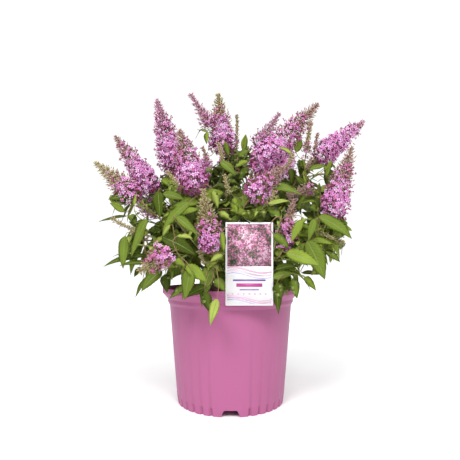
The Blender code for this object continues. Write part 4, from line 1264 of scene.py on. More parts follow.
class Frame:
    """The whole plant's limbs, worked out before any leaf, so that each mass's own space is known."""

    def __init__(self):
        self.stems = stem_paths()
        self.boughs = {}
        self.masses = {}
        ranks = dict.fromkeys(self.stems, 0)
        for mass, (stem, heads) in head_table().items():
            target = heads[0].foot
            start, way = bough_start(self.stems[stem], ranks[stem], target)
            ranks[stem] += 1
            end = start.lerp(target, BOUGH_SHARE) + UP * BOUGH_LIFT
            end_way = (target - start).normalized() + UP * BOUGH_STEEPENS
            self.boughs[mass] = bend_on(start, way, end, end_way, 5)
            self.masses[mass] = self.main_shoots(self.boughs[mass], heads)
        self.order = {mass: number for number, mass in enumerate(self.masses)}
        self.gather_spaces()
        hang_place, _ = way_at(self.masses[HUNG_ON][0].path, HUNG_SHARE)
        self.strap = strap_path(hang_place)
        self.cells = {}
        self.add_leafy_shoots()

    def gather_spaces(self):
        """Round pieces for every mass's shoots and heads, mass after mass, and for the stems and boughs."""
        spaces = [capsules(shoots) for shoots in self.masses.values()]
        self.space = tuple(np.concatenate([space[part] for space in spaces]) for part in range(3))
        self.firsts = np.cumsum([0] + [len(space[0]) for space in spaces])[:-1]
        paths = list(self.boughs.values()) + list(self.stems.values())
        starts = np.array([place for path in paths for place in path[:-1]])
        ends = np.array([place for path in paths for place in path[1:]])
        self.limbs = (starts, ends, np.full(len(starts), STEM_NECK_RADIUS))
        self.shown = head_pieces([shoot.head for name, shoots in self.masses.items() for shoot in shoots
                                  if shoot.head and not name.startswith("back")])

    def main_shoots(self, bough, heads):
        """The mass's stem runs on from the bough to its first head, and the other heads branch from it."""
        tip, way = way_at(bough, 1.0)
        first = heads[0]
        path = bend_on(tip + way * TOUCH_GAP, way, first.foot, first.axis(), 7)
        shoots = [Shoot(path, SHOOT_RADIUS, first)]
        for number, head in enumerate(heads[1:]):
            share = nearest_share(path, head.foot, SIDE_FROM[0] + SIDE_FROM[1] * number)
            start, parent_way = way_at(path, share)
            out = (head.foot - start).normalized() * SIDE_WAY[0] + parent_way * SIDE_WAY[1]
            side = bend(start, out, head.foot, head.axis(), 5)
            shoots.append(Shoot(side, SIDE_SHOOT_RADIUS, head))
        return shoots

    def add_leafy_shoots(self):
        """Side shoots that bear only leaves, and more of them low on the masses of the hidden side."""
        draw = random.Random(23)
        for mass, shoots in self.masses.items():
            kinds = [(LEAFY_FROM, LEAFY_LENGTH, LEAFY_RISE, LEAFY_SHOOTS)]
            if mass.startswith("back"):
                kinds.append((LOW_FROM, LOW_LENGTH, LOW_RISE, LOW_SHOOTS))
            wanted = [
                (first + step * number, lengths, rises)
                for (first, step), lengths, rises, count in kinds
                for number in range(count)
            ]
            for share, lengths, rises in wanted:
                for _ in range(LEAFY_TRIES):
                    start = share + draw.uniform(*LEAFY_STRAYS)
                    path = leafy_path(shoots[0].path, start, lengths, rises, draw)
                    places = np.array(path[1:])
                    if self.fits(mass, places, LEAFY_ROOM) and not hides(places, self.shown):
                        shoots.append(Shoot(path, SIDE_SHOOT_RADIUS))
                        break

    def fits(self, mass, points, margin):
        """True where every point lies in the mass's own space and clear of the limbs, pot and label."""
        number = self.order[mass]
        gaps = np.minimum.reduceat(distances(points, self.space), self.firsts, axis=1)
        own = gaps[:, number].copy()
        gaps[:, number] = np.inf
        if (gaps.min(axis=1) < own + margin + SPACE_MARGIN).any():
            return False
        if (distances(points, self.limbs).min(axis=1) < LIMB_MARGIN + margin / 4).any():
            return False
        reach = np.hypot(points[:, 0], points[:, 1])
        if (reach > np.interp(points[:, 2], *np.transpose(LEAF_REACH))).any():
            return False
        return clear_of_pot(points) and clear_of_label(points, self.strap)

    def take_room(self, points):
        """True where few other leaves hold the points' cells, which then become this leaf's."""
        cells = {tuple(cell) for cell in np.floor(points / CELL).astype(int)}
        shared = sum(cell in self.cells for cell in cells)
        if shared > SHARED_CELLS:
            return False
        self.cells.update(dict.fromkeys(cells, True))
        return True


def leafy_path(parent, share, lengths, rises, draw):
    """A side shoot that leaves its parent and spreads outwards, by a length and a rise in these ranges."""
    start, way = way_at(parent, share)
    degrees = bearing(start.x, start.y) + draw.uniform(-LEAFY_SWING, LEAFY_SWING)
    rise = math.radians(draw.uniform(*rises))
    flat = on_bearing(degrees, 1, 0)
    out = flat * math.cos(rise) + UP * math.sin(rise)
    length = draw.uniform(*lengths)
    return bend(start, (way + flat).normalized(), start + out * length, out, 4)


def nearest_share(path, place, least):
    """The share along a path from which a side shoot to this place leaves it."""
    shares = [least + step * 0.05 for step in range(9)]
    return min(shares, key=lambda share: abs((way_at(path, share)[0] - place).length - SIDE_AHEAD))


def capsules(shoots):
    """Start, end and radius of the short straight pieces that stand for a mass's shoots and heads."""
    starts = [place for shoot in shoots for place in shoot.path[:-1]]
    ends = [place for shoot in shoots for place in shoot.path[1:]]
    heads = head_pieces([shoot.head for shoot in shoots if shoot.head])
    return (
        np.concatenate([np.array(starts), heads[0]]),
        np.concatenate([np.array(ends), heads[1]]),
        np.concatenate([np.full(len(starts), SHOOT_RADIUS), heads[2]]),
    )


def head_pieces(heads):
    """Start, end and radius of four short pieces for each flower head."""
    steps = [(head, step / 4, (step + 1) / 4) for head in heads for step in range(4)]
    return (
        np.array([head.foot.lerp(head.tip, low) for head, low, _ in steps]),
        np.array([head.foot.lerp(head.tip, high) for head, _, high in steps]),
        np.array([head.outline((low + high) / 2) for head, low, high in steps]),
    )


def distances(points, pieces):
    """Distance from each point to each of these round pieces' surfaces, negative inside one."""
    starts, ends, radii = pieces
    spans = ends - starts
    offsets = points[:, None, :] - starts[None, :, :]
    shares = (offsets * spans).sum(axis=2) / np.maximum((spans * spans).sum(axis=1), 1e-12)
    gaps = offsets - np.clip(shares, 0, 1)[:, :, None] * spans[None, :, :]
    return np.linalg.norm(gaps, axis=2) - radii


def hides(points, pieces):
    """True where a point stands before one of these round pieces, seen as the photograph sees it."""
    starts, ends, radii = pieces
    flat_points, depths = seen_flat(points)
    flat_starts, start_depths = seen_flat(starts)
    flat_ends, end_depths = seen_flat(ends)
    spans = flat_ends - flat_starts
    offsets = flat_points[:, None, :] - flat_starts[None, :, :]
    shares = np.clip((offsets * spans).sum(axis=2) / np.maximum((spans * spans).sum(axis=1), 1e-12), 0, 1)
    gaps = np.linalg.norm(offsets - shares[:, :, None] * spans[None, :, :], axis=2)
    piece_depths = start_depths + (end_depths - start_depths) * shares
    return bool(((gaps < KEPT_OPEN * radii / piece_depths) & (depths[:, None] < piece_depths)).any())


def seen_flat(points):
    """Where points stand in the photograph's view, for a depth of one, and their depths."""
    offsets = points - EYE
    depths = offsets[:, 1]
    return offsets[:, (0, 2)] / depths[:, None], depths


def at_photo(column, row, depth):
    """The place at a depth that the photograph shows at this column and row."""
    reach = (CAMERA_DISTANCE + depth) / PHOTO_FOCAL
    return Vector(((column - PHOTO_AXIS) * reach, depth, CAMERA_HEIGHT - (row - PHOTO_HORIZON) * reach))


def in_sky(points):
    """True where a point stands where the photograph shows the sky."""
    flat, _ = seen_flat(points)
    columns = PHOTO_MIDDLE + PHOTO_FOCAL * flat[:, 0]
    rows = PHOTO_HORIZON - PHOTO_FOCAL * flat[:, 1]
    gaps = np.array(SKY_GAPS)
    reach = np.hypot(columns[:, None] - gaps[:, 0], rows[:, None] - gaps[:, 1])
    return bool((reach < gaps[:, 2]).any())


def clear_of_pot(points):
    """True where no point is in the pot's wall, its lip or the potting mix."""
    reach = np.hypot(points[:, 0], points[:, 1])
    height = points[:, 2]
    over_lip = height > LIP_TOP + POT_MARGIN
    outside = reach > LIP_RADIUS + POT_MARGIN
    inside = (reach < BAND_RADIUS - POT_WALL - POT_MARGIN) & (height > SOIL_TOP + POT_MARGIN)
    return bool((over_lip | outside | inside).all())


def clear_of_label(points, strap):
    """True where no point is in the label, in front of it, or in its strap."""
    x, y, z = points.T
    across = (x > LABEL_LEFT - LABEL_MARGIN) & (x < LABEL_LEFT + LABEL_WIDTH + LABEL_MARGIN)
    along = (z > LABEL_BOTTOM - LABEL_MARGIN) & (z < LABEL_BOTTOM + LABEL_HEIGHT + LABEL_MARGIN)
    near = y < -LIP_RADIUS + LABEL_MARGIN
    pieces = (np.array(strap[:-1]), np.array(strap[1:]), np.full(len(strap) - 1, STRAP_RADIUS))
    return not (across & along & near).any() and not (distances(points, pieces) < LABEL_MARGIN).any()


# Leaves


def leaf_width(share):
    """Half width along a leaf, widest a third of the way up, with a long drawn-out point."""
    fall = LEAF_SWELL * (1 - LEAF_PEAK) / LEAF_PEAK
    widest = LEAF_PEAK ** LEAF_SWELL * (1 - LEAF_PEAK) ** fall
    return (share ** LEAF_SWELL) * ((1 - share) ** fall) / widest


def leaf_faces(stations):
    """Faces of a toothed leaf and their parts of it, for six points over and one under at each station."""
    faces = []
    parts = []
    row = 9  # six upper points, the under rib and two teeth
    last = len(stations) - 1
    for n in range(last):
        a, b = n * row, (n + 1) * row
        faces += [(a, a + 7, b, b + 1, a + 1)]
        faces += [(a + n, b + n, b + n + 1, a + n + 1) for n in (1, 2, 3)]
        faces += [(a + 4, b + 4, b + 5, a + 8, a + 5)]
        faces += [(a + 6, b + 6, b, a + 7, a), (a + 5, a + 8, b + 5, b + 6, a + 6)]
        parts += ["top", "top", "rib", "top", "top", "under", "under"]
    a = last * row
    tip = (last + 1) * row
    faces += [(a + n, tip, a + n + 1) for n in range(5)]
    faces += [(a + 6, tip, a), (a + 5, tip, a + 6), (0, 1, 2, 3, 4, 5, 6)]
    parts += ["top", "top", "rib", "top", "top", "under", "under", "under"]
    return faces, parts


def small_leaf_faces(stations):
    """Faces of a small leaf: left edge, rib, right edge and under rib at each station."""
    faces = []
    parts = []
    last = len(stations) - 1
    for n in range(last):
        a, b = n * 4, (n + 1) * 4
        faces += [(a, b, b + 1, a + 1), (a + 1, b + 1, b + 2, a + 2)]
        faces += [(a + 3, b + 3, b, a), (a + 2, b + 2, b + 3, a + 3)]
        parts += ["top", "top", "under", "under"]
    a = last * 4
    tip = (last + 1) * 4
    faces += [(a, tip, a + 1), (a + 1, tip, a + 2), (a + 3, tip, a), (a + 2, tip, a + 3), (0, 1, 2, 3)]
    parts += ["top", "top", "under", "under", "under"]
    return faces, parts


def light_way(place):
    """Where a leaf turns its face: upwards and outwards, and at the front also towards the light."""
    outward = Vector((place.x, place.y, 0))
    if outward.length > 1e-4:
        outward.normalize()
    front = min(1.0, max(0.0, (FRONT_FROM - place.y) / FRONT_DEEP))
    return (UP * LIGHT_UP + outward * LIGHT_OUT + LIGHT_FRONT * front).normalized()


BIG_FACES, BIG_PARTS = leaf_faces(LEAF_STATIONS)
SMALL_FACES, SMALL_PARTS = small_leaf_faces(SMALL_STATIONS)


class Leaf:
    """One leaf: where its root is, which way it grows, its length, droop, roll and twist."""

    def __init__(self, root, way, length, droop, draw, tilt=LEAF_TILT):
        self.root = root
        self.way = way
        self.length = length
        self.droop = droop
        right = way.cross(light_way(root))
        if right.length < 0.2:
            right = way.orthogonal()
        self.right = Matrix.Rotation(draw.uniform(-tilt, tilt), 3, way) @ right.normalized()
        self.half = length * LEAF_WIDTH_SHARE / 2 * draw.uniform(*LEAF_SPREAD)
        self.twist = draw.uniform(-LEAF_TWIST, LEAF_TWIST)
        self.bow = draw.uniform(-LEAF_BOW, LEAF_BOW)
        self.fold = draw.uniform(*LEAF_FOLD)
        self.wave = draw.uniform(0, math.tau)

    def rib(self, share):
        """Place on the midrib, which rises a little and then hangs."""
        forward = self.length * (share - TIP_DRAWN_IN * self.droop * share * share)
        drop = self.length * (TIP_SAG * self.droop * share * share - ROOT_RISE * share)
        aside = self.length * self.bow * share * share
        return self.root + self.way * forward + self.right * aside - UP * drop

    def section(self, share):
        """Rib place, rightward way and upper way at a share of the length."""
        place = self.rib(share)
        ahead = (self.rib(min(1.0, share + 0.03)) - self.rib(max(0.0, share - 0.03))).normalized()
        right = (self.right - ahead * self.right.dot(ahead)).normalized()
        right = Matrix.Rotation(self.twist * share, 3, ahead) @ right
        return place, right, right.cross(ahead)

    def samples(self):
        """A few points of the leaf beyond its root, to test for room."""
        points = []
        for share in (0.2, 0.32, 0.45, 0.6, 0.75, 0.88, 1.0):
            place, right, _ = self.section(share)
            half = self.half * leaf_width(share) if share < 1 else 0.0
            points.append(place)
            if half > 0.002:
                points += [place + right * half, place - right * half]
        return np.array(points)

    def point(self, frame_at, half, x, share):
        """A place on the upper face, x half widths to the right of the rib."""
        place, right, over = frame_at
        wave = LEAF_WAVE * math.sin(self.wave + LEAF_WAVES * share) * x * x
        height = half * (self.fold * abs(x) - LEAF_FLATTENS * self.fold * x * x + wave)
        return place + right * (half * x) + over * height

    def big(self):
        """Points, faces, parts and UVs of a leaf with a rib and teeth."""
        points = []
        places = []
        for number, share in enumerate(LEAF_STATIONS):
            half = max(self.half * leaf_width(share), LEAF_LEAST)
            at = self.section(share)
            for x in (-1, -0.5, -RIB_SHARE, RIB_SHARE, 0.5, 1):
                points.append(self.point(at, half, x, share))
                places.append((0.5 + x / 2, share))
            points.append(at[0] - at[2] * LEAF_THICK)
            places.append((0.5, share))
            following = LEAF_STATIONS[number + 1] if number + 1 < len(LEAF_STATIONS) else 1.0
            tooth_share = share + (following - share) * TOOTH_AT
            tooth_half = self.half * leaf_width(tooth_share)
            tooth_at = self.section(tooth_share)
            for x in (-1 - TOOTH, 1 + TOOTH):
                points.append(self.point(tooth_at, tooth_half, x, tooth_share))
                places.append((0.5 + x / 2, tooth_share))
        points.append(self.rib(1.0))
        places.append((0.5, 1.0))
        return points, BIG_FACES, BIG_PARTS, places

    def small(self):
        """The same for a leaf with a plain edge."""
        points = []
        places = []
        for share in SMALL_STATIONS:
            half = max(self.half * leaf_width(share), SMALL_LEAST)
            at = self.section(share)
            points += [self.point(at, half, -1, share), at[0], self.point(at, half, 1, share)]
            points.append(at[0] - at[2] * LEAF_THICK)
            places += [(0, share), (0.5, share), (1, share), (0.5, share)]
        points.append(self.rib(1.0))
        places.append((0.5, 1.0))
        return points, SMALL_FACES, SMALL_PARTS, places


def add_leaf(leaf, green):
    points, faces, parts, places = leaf.small() if leaf.length < SMALL_LEAF else leaf.big()
    names = {"top": green, "under": "leaf_under", "rib": "leaf_rib"}
    leaves.add(points, faces, [names[part] for part in parts], places)


def spray_green(draw, share):
    """One green for a whole spray: deep low on a shoot, fresh towards its tip."""
    return draw.choice(GREENS_LOW if share < GREENS_CHANGE else GREENS_HIGH)


def grow_leaf(mass, place, way, turn, size, tries, green, draw):
    """One leaf at a node, tried at a few turns and sizes. It returns the way that the leaf grew, or None."""
    across = way.orthogonal().normalized()
    size *= float(np.interp(place.z, HIGH_UP, (1.0, HIGH_SCALE)))
    for scale in tries:
        out = Matrix.Rotation(turn + draw.uniform(-LEAF_SWING, LEAF_SWING), 3, way) @ across
        out = (out * LEAF_OUT + way * draw.uniform(*LEAF_AHEAD) + UP * LEAF_UPWARDS).normalized()
        length = size * scale * draw.uniform(*LEAF_SPREAD)
        leaf = Leaf(place, out, length, draw.uniform(*LEAF_DROOP), draw)
        samples = leaf.samples()
        if in_sky(samples) or hides(samples, plant.shown):
            continue
        if plant.fits(mass, samples, 0.0) and plant.take_room(samples):
            add_leaf(leaf, green)
            return out
    return None


def leafy_nodes(mass, path, gap, low, high, draw, axils=True, last=1.0, first=0.10):
    """Pairs of leaves along a shoot, each a quarter turn from the last, with sprays in their axils."""
    count = max(2, int(path_length(path) / gap))
    quarter = draw.uniform(0, math.pi)
    for node in range(count):
        share = first + (last - first) * (node + 0.5) / count
        place, way = way_at(path, share)
        green = spray_green(draw, share)
        size = low + (high - low) * share
        for side in (0, math.pi):
            turn = quarter + node * math.pi / 2 + side
            out = grow_leaf(mass, place, way, turn, size, LEAF_TRIES, green, draw)
            if axils and draw.random() < AXIL_CHANCE:
                axil_spray(mass, place, (out or way) + way * AXIL_AHEAD, draw)


def axil_spray(mass, place, way, draw):
    """A very short side twig with a few small young leaves at its end."""
    way = way.normalized()
    end = place + way * draw.uniform(*AXIL_TWIG)
    if not plant.fits(mass, np.array([end]), 0.0):
        return
    points, faces, uvs = tube([place, end], AXIL_RADII, 3)
    twigs.add(points, faces, "twig_green", uvs)
    quarter = draw.uniform(0, math.pi)
    for number in range(draw.choice((2, 3, 4))):
        turn = quarter + number * math.pi / 2
        grow_leaf(mass, end, way, turn, draw.uniform(*AXIL_LENGTH), END_TRIES, "leaf_young", draw)


def fine_twigs(mass, path, draw):
    """Thin side twigs with their own leaves, where the mass still has room."""
    count = int(path_length(path) / FINE_TWIG_GAP)
    for number in range(count):
        share = (number + 0.7) / (count + 0.4)
        for _ in range(FINE_TRIES):
            start, way = way_at(path, share)
            swing = draw.uniform(-FINE_TWIG_SWING, FINE_TWIG_SWING)
            flat = on_bearing(bearing(start.x, start.y) + swing, 1, 0)
            out = (flat + UP * draw.uniform(*FINE_TWIG_RISE) + way * FINE_TWIG_AHEAD).normalized()
            end = start + out * draw.uniform(*FINE_TWIG_LENGTH)
            twig = bend(start, (way + flat).normalized(), end, out, 4)
            places = np.array(twig[1:])
            if plant.fits(mass, places, 0.0) and not hides(places, plant.shown):
                radii = taper(FINE_TWIG_RADIUS, FINE_TWIG_TIP, 4)
                add_limb(twigs, "twig_green", twig, radii, FINE_TWIG_SIDES, FINE_TWIG_STEP)
                sizes = (FINE_LEAF_LOW, FINE_LEAF_HIGH)
                leafy_nodes(mass, twig, FINE_NODE_GAP, *sizes, draw, axils=False, first=FINE_FIRST)
                turn = draw.uniform(0, 3)
                grow_leaf(mass, end, out, turn, FINE_END_LEAF, END_TRIES, "leaf_young", draw)
                break


# Flower heads


def petal_template():
    """Points, faces and UVs of four round petals that face +Z, for a radius of one."""
    points = []
    faces = []
    places = []
    for petal in range(4):
        angle = math.tau * petal / 4
        base = len(points)
        for reach, half, height in ((0.14, 0.10, 0.00), (0.58, 0.37, 0.06), (0.98, 0.24, -0.08)):
            for side in (-1, 1):
                x, y = reach, side * half
                points.append((x * math.cos(angle) - y * math.sin(angle),
                               x * math.sin(angle) + y * math.cos(angle), height))
                places.append((reach, 0.5))
        faces += [(base, base + 2, base + 3, base + 1), (base + 2, base + 4, base + 5, base + 3)]
    return np.array(points), faces, places


PETAL_POINTS, PETAL_FACES, PETAL_PLACES = petal_template()


def axes_round(way):
    side = way.orthogonal().normalized()
    return side, way.cross(side)


def add_floret(place, way, radius, spin, petal, draw):
    """An open floret that faces its way, on a slim tube that runs back into the head."""
    side, over = axes_round(way)
    turned = side * math.cos(spin) + over * math.sin(spin)
    cross = way.cross(turned)
    basis = np.array([turned, cross, way]) * radius
    shape = PETAL_POINTS.copy()
    shape[:, 2] += draw.uniform(-0.25, 0.15) * np.hypot(shape[:, 0], shape[:, 1])
    points = list(shape @ basis + np.array(place))
    faces = list(PETAL_FACES)
    kinds = [petal] * len(faces)
    base = len(points)
    for corner in range(4):
        angle = math.tau * (corner + 0.5) / 4
        out = turned * math.cos(angle) + cross * math.sin(angle)
        points.append(np.array(place + out * EYE_SHARE * radius + way * radius * 0.05))
    points.append(np.array(place + way * radius * 0.12))
    faces += [(base + n, base + (n + 1) % 4, base + 4) for n in range(4)]
    kinds += ["eye_orange"] * 4
    base = len(points)
    for corner in range(3):
        angle = math.tau * corner / 3
        out = turned * math.cos(angle) + cross * math.sin(angle)
        points.append(np.array(place + out * TUBE_RADIUS))
    points.append(np.array(place - way * TUBE_LENGTH))
    faces += [(base + n, base + 3, base + (n + 1) % 3) for n in range(3)]
    kinds += ["tube_magenta"] * 3
    blossom.add(points, faces, kinds, PETAL_PLACES + [(0.0, 0.0)] * (len(points) - len(PETAL_PLACES)))


def add_bud(place, way, length, radius, tint, draw):
    """An unopened bud: a slim spindle in its calyx, with a tinted tip."""
    side, over = axes_round(way)
    spin = draw.uniform(0, math.tau)
    points = [place]
    for share, grow in ((0.30, 1.0), (0.66, 0.8)):
        for corner in range(3):
            angle = spin + math.tau * corner / 3
            out = side * math.cos(angle) + over * math.sin(angle)
            points.append(place + way * length * share + out * radius * grow)
    points.append(place + way * length)
    faces = [(0, 1 + (n + 1) % 3, 1 + n) for n in range(3)]
    faces += [(1 + n, 1 + (n + 1) % 3, 4 + (n + 1) % 3, 4 + n) for n in range(3)]
    faces += [(4 + n, 4 + (n + 1) % 3, 7) for n in range(3)]
    buds.add(points, faces, ["calyx_" + tint] * 3 + ["calyx_" + tint] * 3 + ["bud_" + tint] * 3)


def make_head(head, draw):
    """Florets up to the stage, then buds to the tip, round one slim stalk."""
    stalk = [head.foot, head.foot.lerp(head.tip, 0.5), head.tip - head.axis() * BUD_LENGTH / 2]
    add_limb(twigs, "twig_green", stalk, taper(STALK_RADIUS, STALK_TIP_RADIUS, 3), 5, 0.01)
    if head.stage:
        for depth in FLORET_LAYERS:
            add_floret_layer(head, depth, draw)
    add_bud_whorls(head, draw)


def add_floret_layer(head, depth, draw):
    """Rings of florets at one depth below the head's surface, gathered a little into whorls."""
    axis = head.axis()
    side, over = axes_round(axis)
    length = head.length()
    rings = int(length * head.stage / RING_GAP)
    for ring in range(rings + 1):
        share = ring * RING_GAP / length
        radius = head.bloom(share) - depth
        if radius < 2 * TUBE_RADIUS:
            continue
        phase = draw.uniform(0, math.tau)
        count = max(3, int(math.tau * radius / FLORET_GAP))
        for number in range(count):
            if share < LOOSE_FOOT and draw.random() < LOOSE_CHANCE:
                continue
            angle = phase + math.tau * (number + draw.uniform(-RING_STRAYS, RING_STRAYS)) / count
            along = min(0.99, max(0.0, share + draw.uniform(-0.6, 0.6) * RING_GAP / length))
            out = side * math.cos(angle) + over * math.sin(angle)
            whorl = HEAD_WHORL * math.cos(math.tau * along * length / CLUSTER_GAP)
            lump = HEAD_LUMP * noise.noise(Vector((angle, along * length * 90, head.radius * 900)))
            reach = head.bloom(along) - depth + whorl + lump + draw.uniform(*FLORET_JITTER)
            if draw.random() < STANDS_OUT_CHANCE:
                reach += STANDS_OUT
            place = head.foot + axis * (along * length) + out * max(reach, HEAD_LEAST)
            jitter = Vector([draw.uniform(-FLORET_TURN, FLORET_TURN) for _ in range(3)])
            way = (out * 0.9 + axis * draw.uniform(*FLORET_LEAN) + jitter).normalized()
            young = along > head.stage - YOUNG_ZONE
            if draw.random() < (YOUNG_BUDS if young else STRAY_BUDS):
                add_bud(place - way * BUD_LENGTH / 2, way, BUD_LENGTH, BUD_RADIUS, head.tint, draw)
                continue
            petals = ("petal_pink", "petal_deep") if depth else ("petal_pale", "petal_pink", "petal_pink")
            size = FLORET_RADIUS * draw.uniform(*FLORET_SPREAD) * (YOUNG_SIZE if young else 1.0)
            add_floret(place, way, size, draw.uniform(0, math.tau), draw.choice(petals), draw)


def add_bud_whorls(head, draw):
    """Whorls of unopened buds from the stage to the tip, the outer ones long and the inner ones close."""
    axis = head.axis()
    side, over = axes_round(axis)
    length = head.length()
    rings = max(2, int(length * (1 - head.stage) / BUD_RING_GAP))
    grow = 1.0 if head.stage else SPIKE_SCALE
    for ring in range(rings + 1):
        share = head.stage + (1 - head.stage) * ring / rings
        whorl = 1 + BUD_WHORL[0] * math.cos(math.tau * ring / BUD_WHORL[1])
        radius = max(head.bloom(min(share, 0.98)), BUD_REACH_LEAST * grow) * whorl
        late = bool(head.stage) and share < head.stage + LATE_ZONE
        for layer in BUD_LAYERS:
            count = max(5, int(math.tau * radius * layer / BUD_GAP))
            phase = draw.uniform(0, math.tau)
            for number in range(count):
                angle = phase + math.tau * (number + draw.uniform(-RING_STRAYS, RING_STRAYS)) / count
                out = side * math.cos(angle) + over * math.sin(angle)
                way = (out * draw.uniform(*BUD_OUT) + axis * draw.uniform(*BUD_AHEAD)).normalized()
                along = share * length + draw.uniform(-BUD_STRAYS, BUD_STRAYS)
                tip = head.foot + axis * along + out * radius * layer * draw.uniform(*BUD_REACH)
                size = BUD_LENGTH * draw.uniform(*BUD_SPREAD) * grow
                if late and layer > 0.5 and draw.random() < LATE_CHANCE:
                    petal = draw.choice(("petal_pink", "petal_deep"))
                    add_floret(tip, way, FLORET_RADIUS * LATE_SIZE, draw.uniform(0, math.tau), petal, draw)
                else:
                    add_bud(tip - way * size, way, size, BUD_RADIUS, head.tint, draw)


def leaf_between(root, tip, width, draw):
    """A leaf whose root, tip and width are given. Its way and length follow from its droop."""
    droop = draw.uniform(*SHOWN_DROOP)
    length = (tip - root).length
    for _ in range(6):
        way = tip - root + UP * length * (TIP_SAG * droop - ROOT_RISE)
        length = way.length / (1 - TIP_DRAWN_IN * droop)
    leaf = Leaf(root, way.normalized(), length, droop, draw, tilt=SHOWN_TILT)
    leaf.bow = 0.0
    leaf.half = width / 2
    return leaf


def nearest_twig(place):
    """The nearest place on any shoot, and the shoot's way there."""
    shoots = [shoot for mass in plant.masses.values() for shoot in mass]
    spots = [way_at(shoot.path, share / 12) for shoot in shoots for share in range(2, 12)]
    return min(spots, key=lambda spot: (spot[0] - place).length)


def grow_shown_leaves():
    """The leaves that stand out in the photograph, each on a slim twig from the nearest shoot."""
    draw = random.Random(77)
    pieces = []
    for green, column, row, tip_column, tip_row, width, depth in SHOWN_LEAVES:
        root = at_photo(column, row, depth)
        tip = at_photo(tip_column, tip_row, depth + draw.uniform(*SHOWN_TIP_BACK))
        leaf = leaf_between(root, tip, width * SHOWN_WIDER * (CAMERA_DISTANCE + depth) / PHOTO_FOCAL, draw)
        add_leaf(leaf, green)
        plant.take_room(leaf.samples())
        pieces += [(leaf.rib(a), leaf.rib(b), leaf.half * leaf_width((a + b) / 2))
                   for a, b in ((0.05, 0.35), (0.35, 0.65), (0.65, 0.95))]
        add_twig_to(root, leaf.way)
    keep_open(zip(*pieces))


def add_twig_to(place, way):
    """A slim twig from the nearest shoot to this place, which it reaches along the way."""
    start, start_way = nearest_twig(place)
    twig = bend(start, start_way, place, way, 5)
    add_limb(twigs, "twig_tan", twig, taper(FINE_TWIG_RADIUS, FINE_TWIG_TIP, 5), FINE_TWIG_SIDES, SHOOT_STEP)


def keep_open(pieces):
    """Adds starts, ends and radii of round pieces to what the leaves grown later don't hide."""
    plant.shown = tuple(np.concatenate([old, np.array(new)]) for old, new in zip(plant.shown, pieces))


def grow_shown_spikes():
    """The small spikes of buds that stand out in the photograph."""
    draw = random.Random(78)
    heads = []
    for column, row, tip_column, tip_row, radius, depth, tint in SHOWN_SPIKES:
        reach = radius * (CAMERA_DISTANCE + depth) / PHOTO_FOCAL
        head = Head(at_photo(tip_column, tip_row, depth), at_photo(column, row, depth), reach, 1.0, 0.0, tint)
        add_twig_to(head.foot, head.axis())
        make_head(head, draw)
        heads.append(head)
    keep_open(head_pieces(heads))


def grow_mass(order, mass):
    """One mass: its shoots, its flower heads, and its leaves and finer twigs."""
    draw = random.Random(400 + order)
    shoots = plant.masses[mass]
    for number, shoot in enumerate(shoots):
        path = list(shoot.path)
        if number == 0:
            path[0] = path[0] - (path[1] - path[0]).normalized() * BURIED
        kind = "twig_tan" if shoot.head else "twig_green"
        radii = taper(shoot.radius, SHOOT_TIP_RADIUS, len(path))
        add_limb(twigs, kind, path, radii, SHOOT_SIDES, SHOOT_STEP)
        if shoot.head:
            make_head(shoot.head, draw)
    for shoot in shoots:
        last = 0.92 if shoot.head else 1.0
        leafy_nodes(mass, shoot.path, LEAF_NODE_GAP, LEAF_LENGTH_LOW, LEAF_LENGTH_HIGH, draw, last=last)
        if not shoot.head:
            way = way_at(shoot.path, 1.0)[1]
            grow_leaf(mass, shoot.path[-1], way, 0, SHOOT_END_LEAF, END_TRIES, "leaf_young", draw)
    for shoot in shoots:
        fine_twigs(mass, shoot.path, draw)


def make_limbs():
    """Stems and boughs with the relief of their bark, each foot run on into what bears it."""
    bark = mottled(
        "bark_brown", BARK_BROWN, 0.85, 90.0, spread=0.45, bump=0.8, relief=0.0008, stretch=(1, 1, 0.25)
    )
    names = [f"stem_{name}" for name in plant.stems] + [f"bough_{name}" for name in plant.boughs]
    batch = Batch("bark_limbs", [bark], "bark", names)
    for number, path in enumerate(plant.stems.values()):
        fine = smooth_path(path, BARK_STEP)
        lengths = np.cumsum([0] + [(b - a).length for a, b in zip(fine, fine[1:])])
        radii = np.interp(lengths / lengths[-1], (0, 1), (STEM_NECK_RADIUS, STEM_TIP_RADIUS))
        radii = radii + (STEM_BASE_RADIUS - STEM_NECK_RADIUS) * np.exp(-lengths / FLARE_LENGTH)
        points, faces, uvs = tube(fine, radii, BARK_SIDES, BARK_RELIEF, number * 7.3)
        batch.add(points, faces, "bark_brown", uvs)
    for number, path in enumerate(plant.boughs.values()):
        path = [path[0] - (path[1] - path[0]).normalized() * BURIED] + list(path)
        radii = [BOUGH_RADIUS] + taper(BOUGH_RADIUS, BOUGH_TIP_RADIUS, len(path) - 1)
        add_limb(batch, "bark_brown", path, radii, BARK_SIDES, BARK_STEP, BARK_RELIEF, number * 5.1)
    batch.finish()


# Camera, light and floor


def make_camera():
    data = bpy.data.cameras.new("view")
    data.sensor_width = SENSOR
    data.lens = LENS
    data.clip_start = 0.05
    camera = bpy.data.objects.new("view", data)
    camera.location = CENTRE + Vector((CAMERA_ASIDE, -CAMERA_DISTANCE, CAMERA_HEIGHT))
    data.shift_y = CAMERA_SHIFT
    camera.rotation_euler = (math.radians(90), 0, 0)
    bpy.context.scene.collection.objects.link(camera)
    bpy.context.scene.camera = camera


def add_sun(name, towards, softness, power):
    """A far studio light that stands in this direction and is as wide as its softness in degrees."""
    data = bpy.data.lights.new(name, "SUN")
    data.angle = math.radians(softness)
    data.energy = power
    light = bpy.data.objects.new(name, data)
    light.rotation_euler = (-Vector(towards)).to_track_quat("-Z", "Y").to_euler()
    bpy.context.scene.collection.objects.link(light)


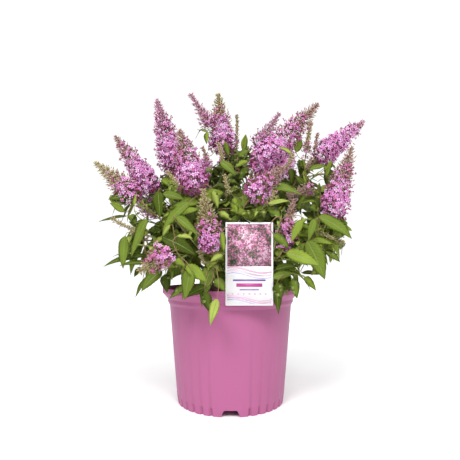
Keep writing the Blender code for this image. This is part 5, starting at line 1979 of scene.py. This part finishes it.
def make_studio():
    scene = bpy.context.scene
    scene.view_settings.view_transform = "Standard"
    world = bpy.data.worlds.new("studio")
    world.use_nodes = True
    tree = world.node_tree
    soft = tree.nodes["Background"]
    soft.inputs["Color"].default_value = (1, 1, 1, 1)
    soft.inputs["Strength"].default_value = AMBIENT
    white = new_node(tree, "ShaderNodeBackground", {"Color": (1, 1, 1, 1), "Strength": BACKDROP})
    seen = new_node(tree, "ShaderNodeLightPath").outputs["Is Camera Ray"]
    both = new_node(tree, "ShaderNodeMixShader", {0: seen, 1: soft.outputs[0], 2: white.outputs[0]})
    tree.links.new(both.outputs[0], tree.nodes["World Output"].inputs["Surface"])
    scene.world = world
    for name, (towards, softness, power) in SUNS.items():
        add_sun(name, towards, softness, power)
    data = bpy.data.meshes.new("floor")
    form = bmesh.new()
    bmesh.ops.create_grid(form, x_segments=1, y_segments=1, size=6)
    form.to_mesh(data)
    form.free()
    floor = bpy.data.objects.new("floor", data)
    data.materials.append(mottled("floor_white", FLOOR_WHITE, 0.6, 8.0, spread=0.01, bump=0.0))
    scene.collection.objects.link(floor)


make_camera()
make_studio()
plant = Frame()
foliage_nodes = [f"foliage_{name}" for name in plant.masses]
leaf_finishes = [leaf_material(name, color) for name, color in LEAF_GREENS.items()]
leaf_finishes.append(leaf_material("leaf_under", LEAF_UNDER, 0.2, 0.6))
leaf_finishes.append(mottled("leaf_rib", LEAF_RIB, 0.5, 120.0))
leaves = Batch("leaves", leaf_finishes, "foliage", foliage_nodes)
twigs = Batch(
    "twigs",
    [
        mottled("twig_tan", TWIG_TAN, 0.7, 120.0, spread=0.4, stretch=(1, 1, 0.3)),
        mottled("twig_green", TWIG_GREEN, 0.6, 120.0, spread=0.25, stretch=(1, 1, 0.3)),
    ],
    "twig",
    foliage_nodes,
)
blossom_finishes = [petal_material(name, color) for name, color in PETALS.items()]
blossom_finishes.append(mottled("eye_orange", EYE_ORANGE, 0.5, 500.0))
blossom_finishes.append(mottled("tube_magenta", TUBE_MAGENTA, 0.6, 400.0))
blossom = Batch("blossom", blossom_finishes, "blossom", foliage_nodes)
bud_finishes = []
for tint_name, (calyx_color, tip_color) in BUD_TINTS.items():
    bud_finishes.append(mottled("calyx_" + tint_name, calyx_color, 0.7, 400.0))
    bud_finishes.append(mottled("bud_" + tint_name, tip_color, 0.6, 400.0))
buds = Batch("buds", bud_finishes, "blossom", foliage_nodes)

make_pot()
make_soil()
make_label(plant.strap)
make_limbs()
grow_shown_leaves()
grow_shown_spikes()
for mass_order, mass_name in enumerate(plant.masses):
    grow_mass(mass_order, mass_name)
for batch in (leaves, twigs, blossom, buds):
    batch.finish()
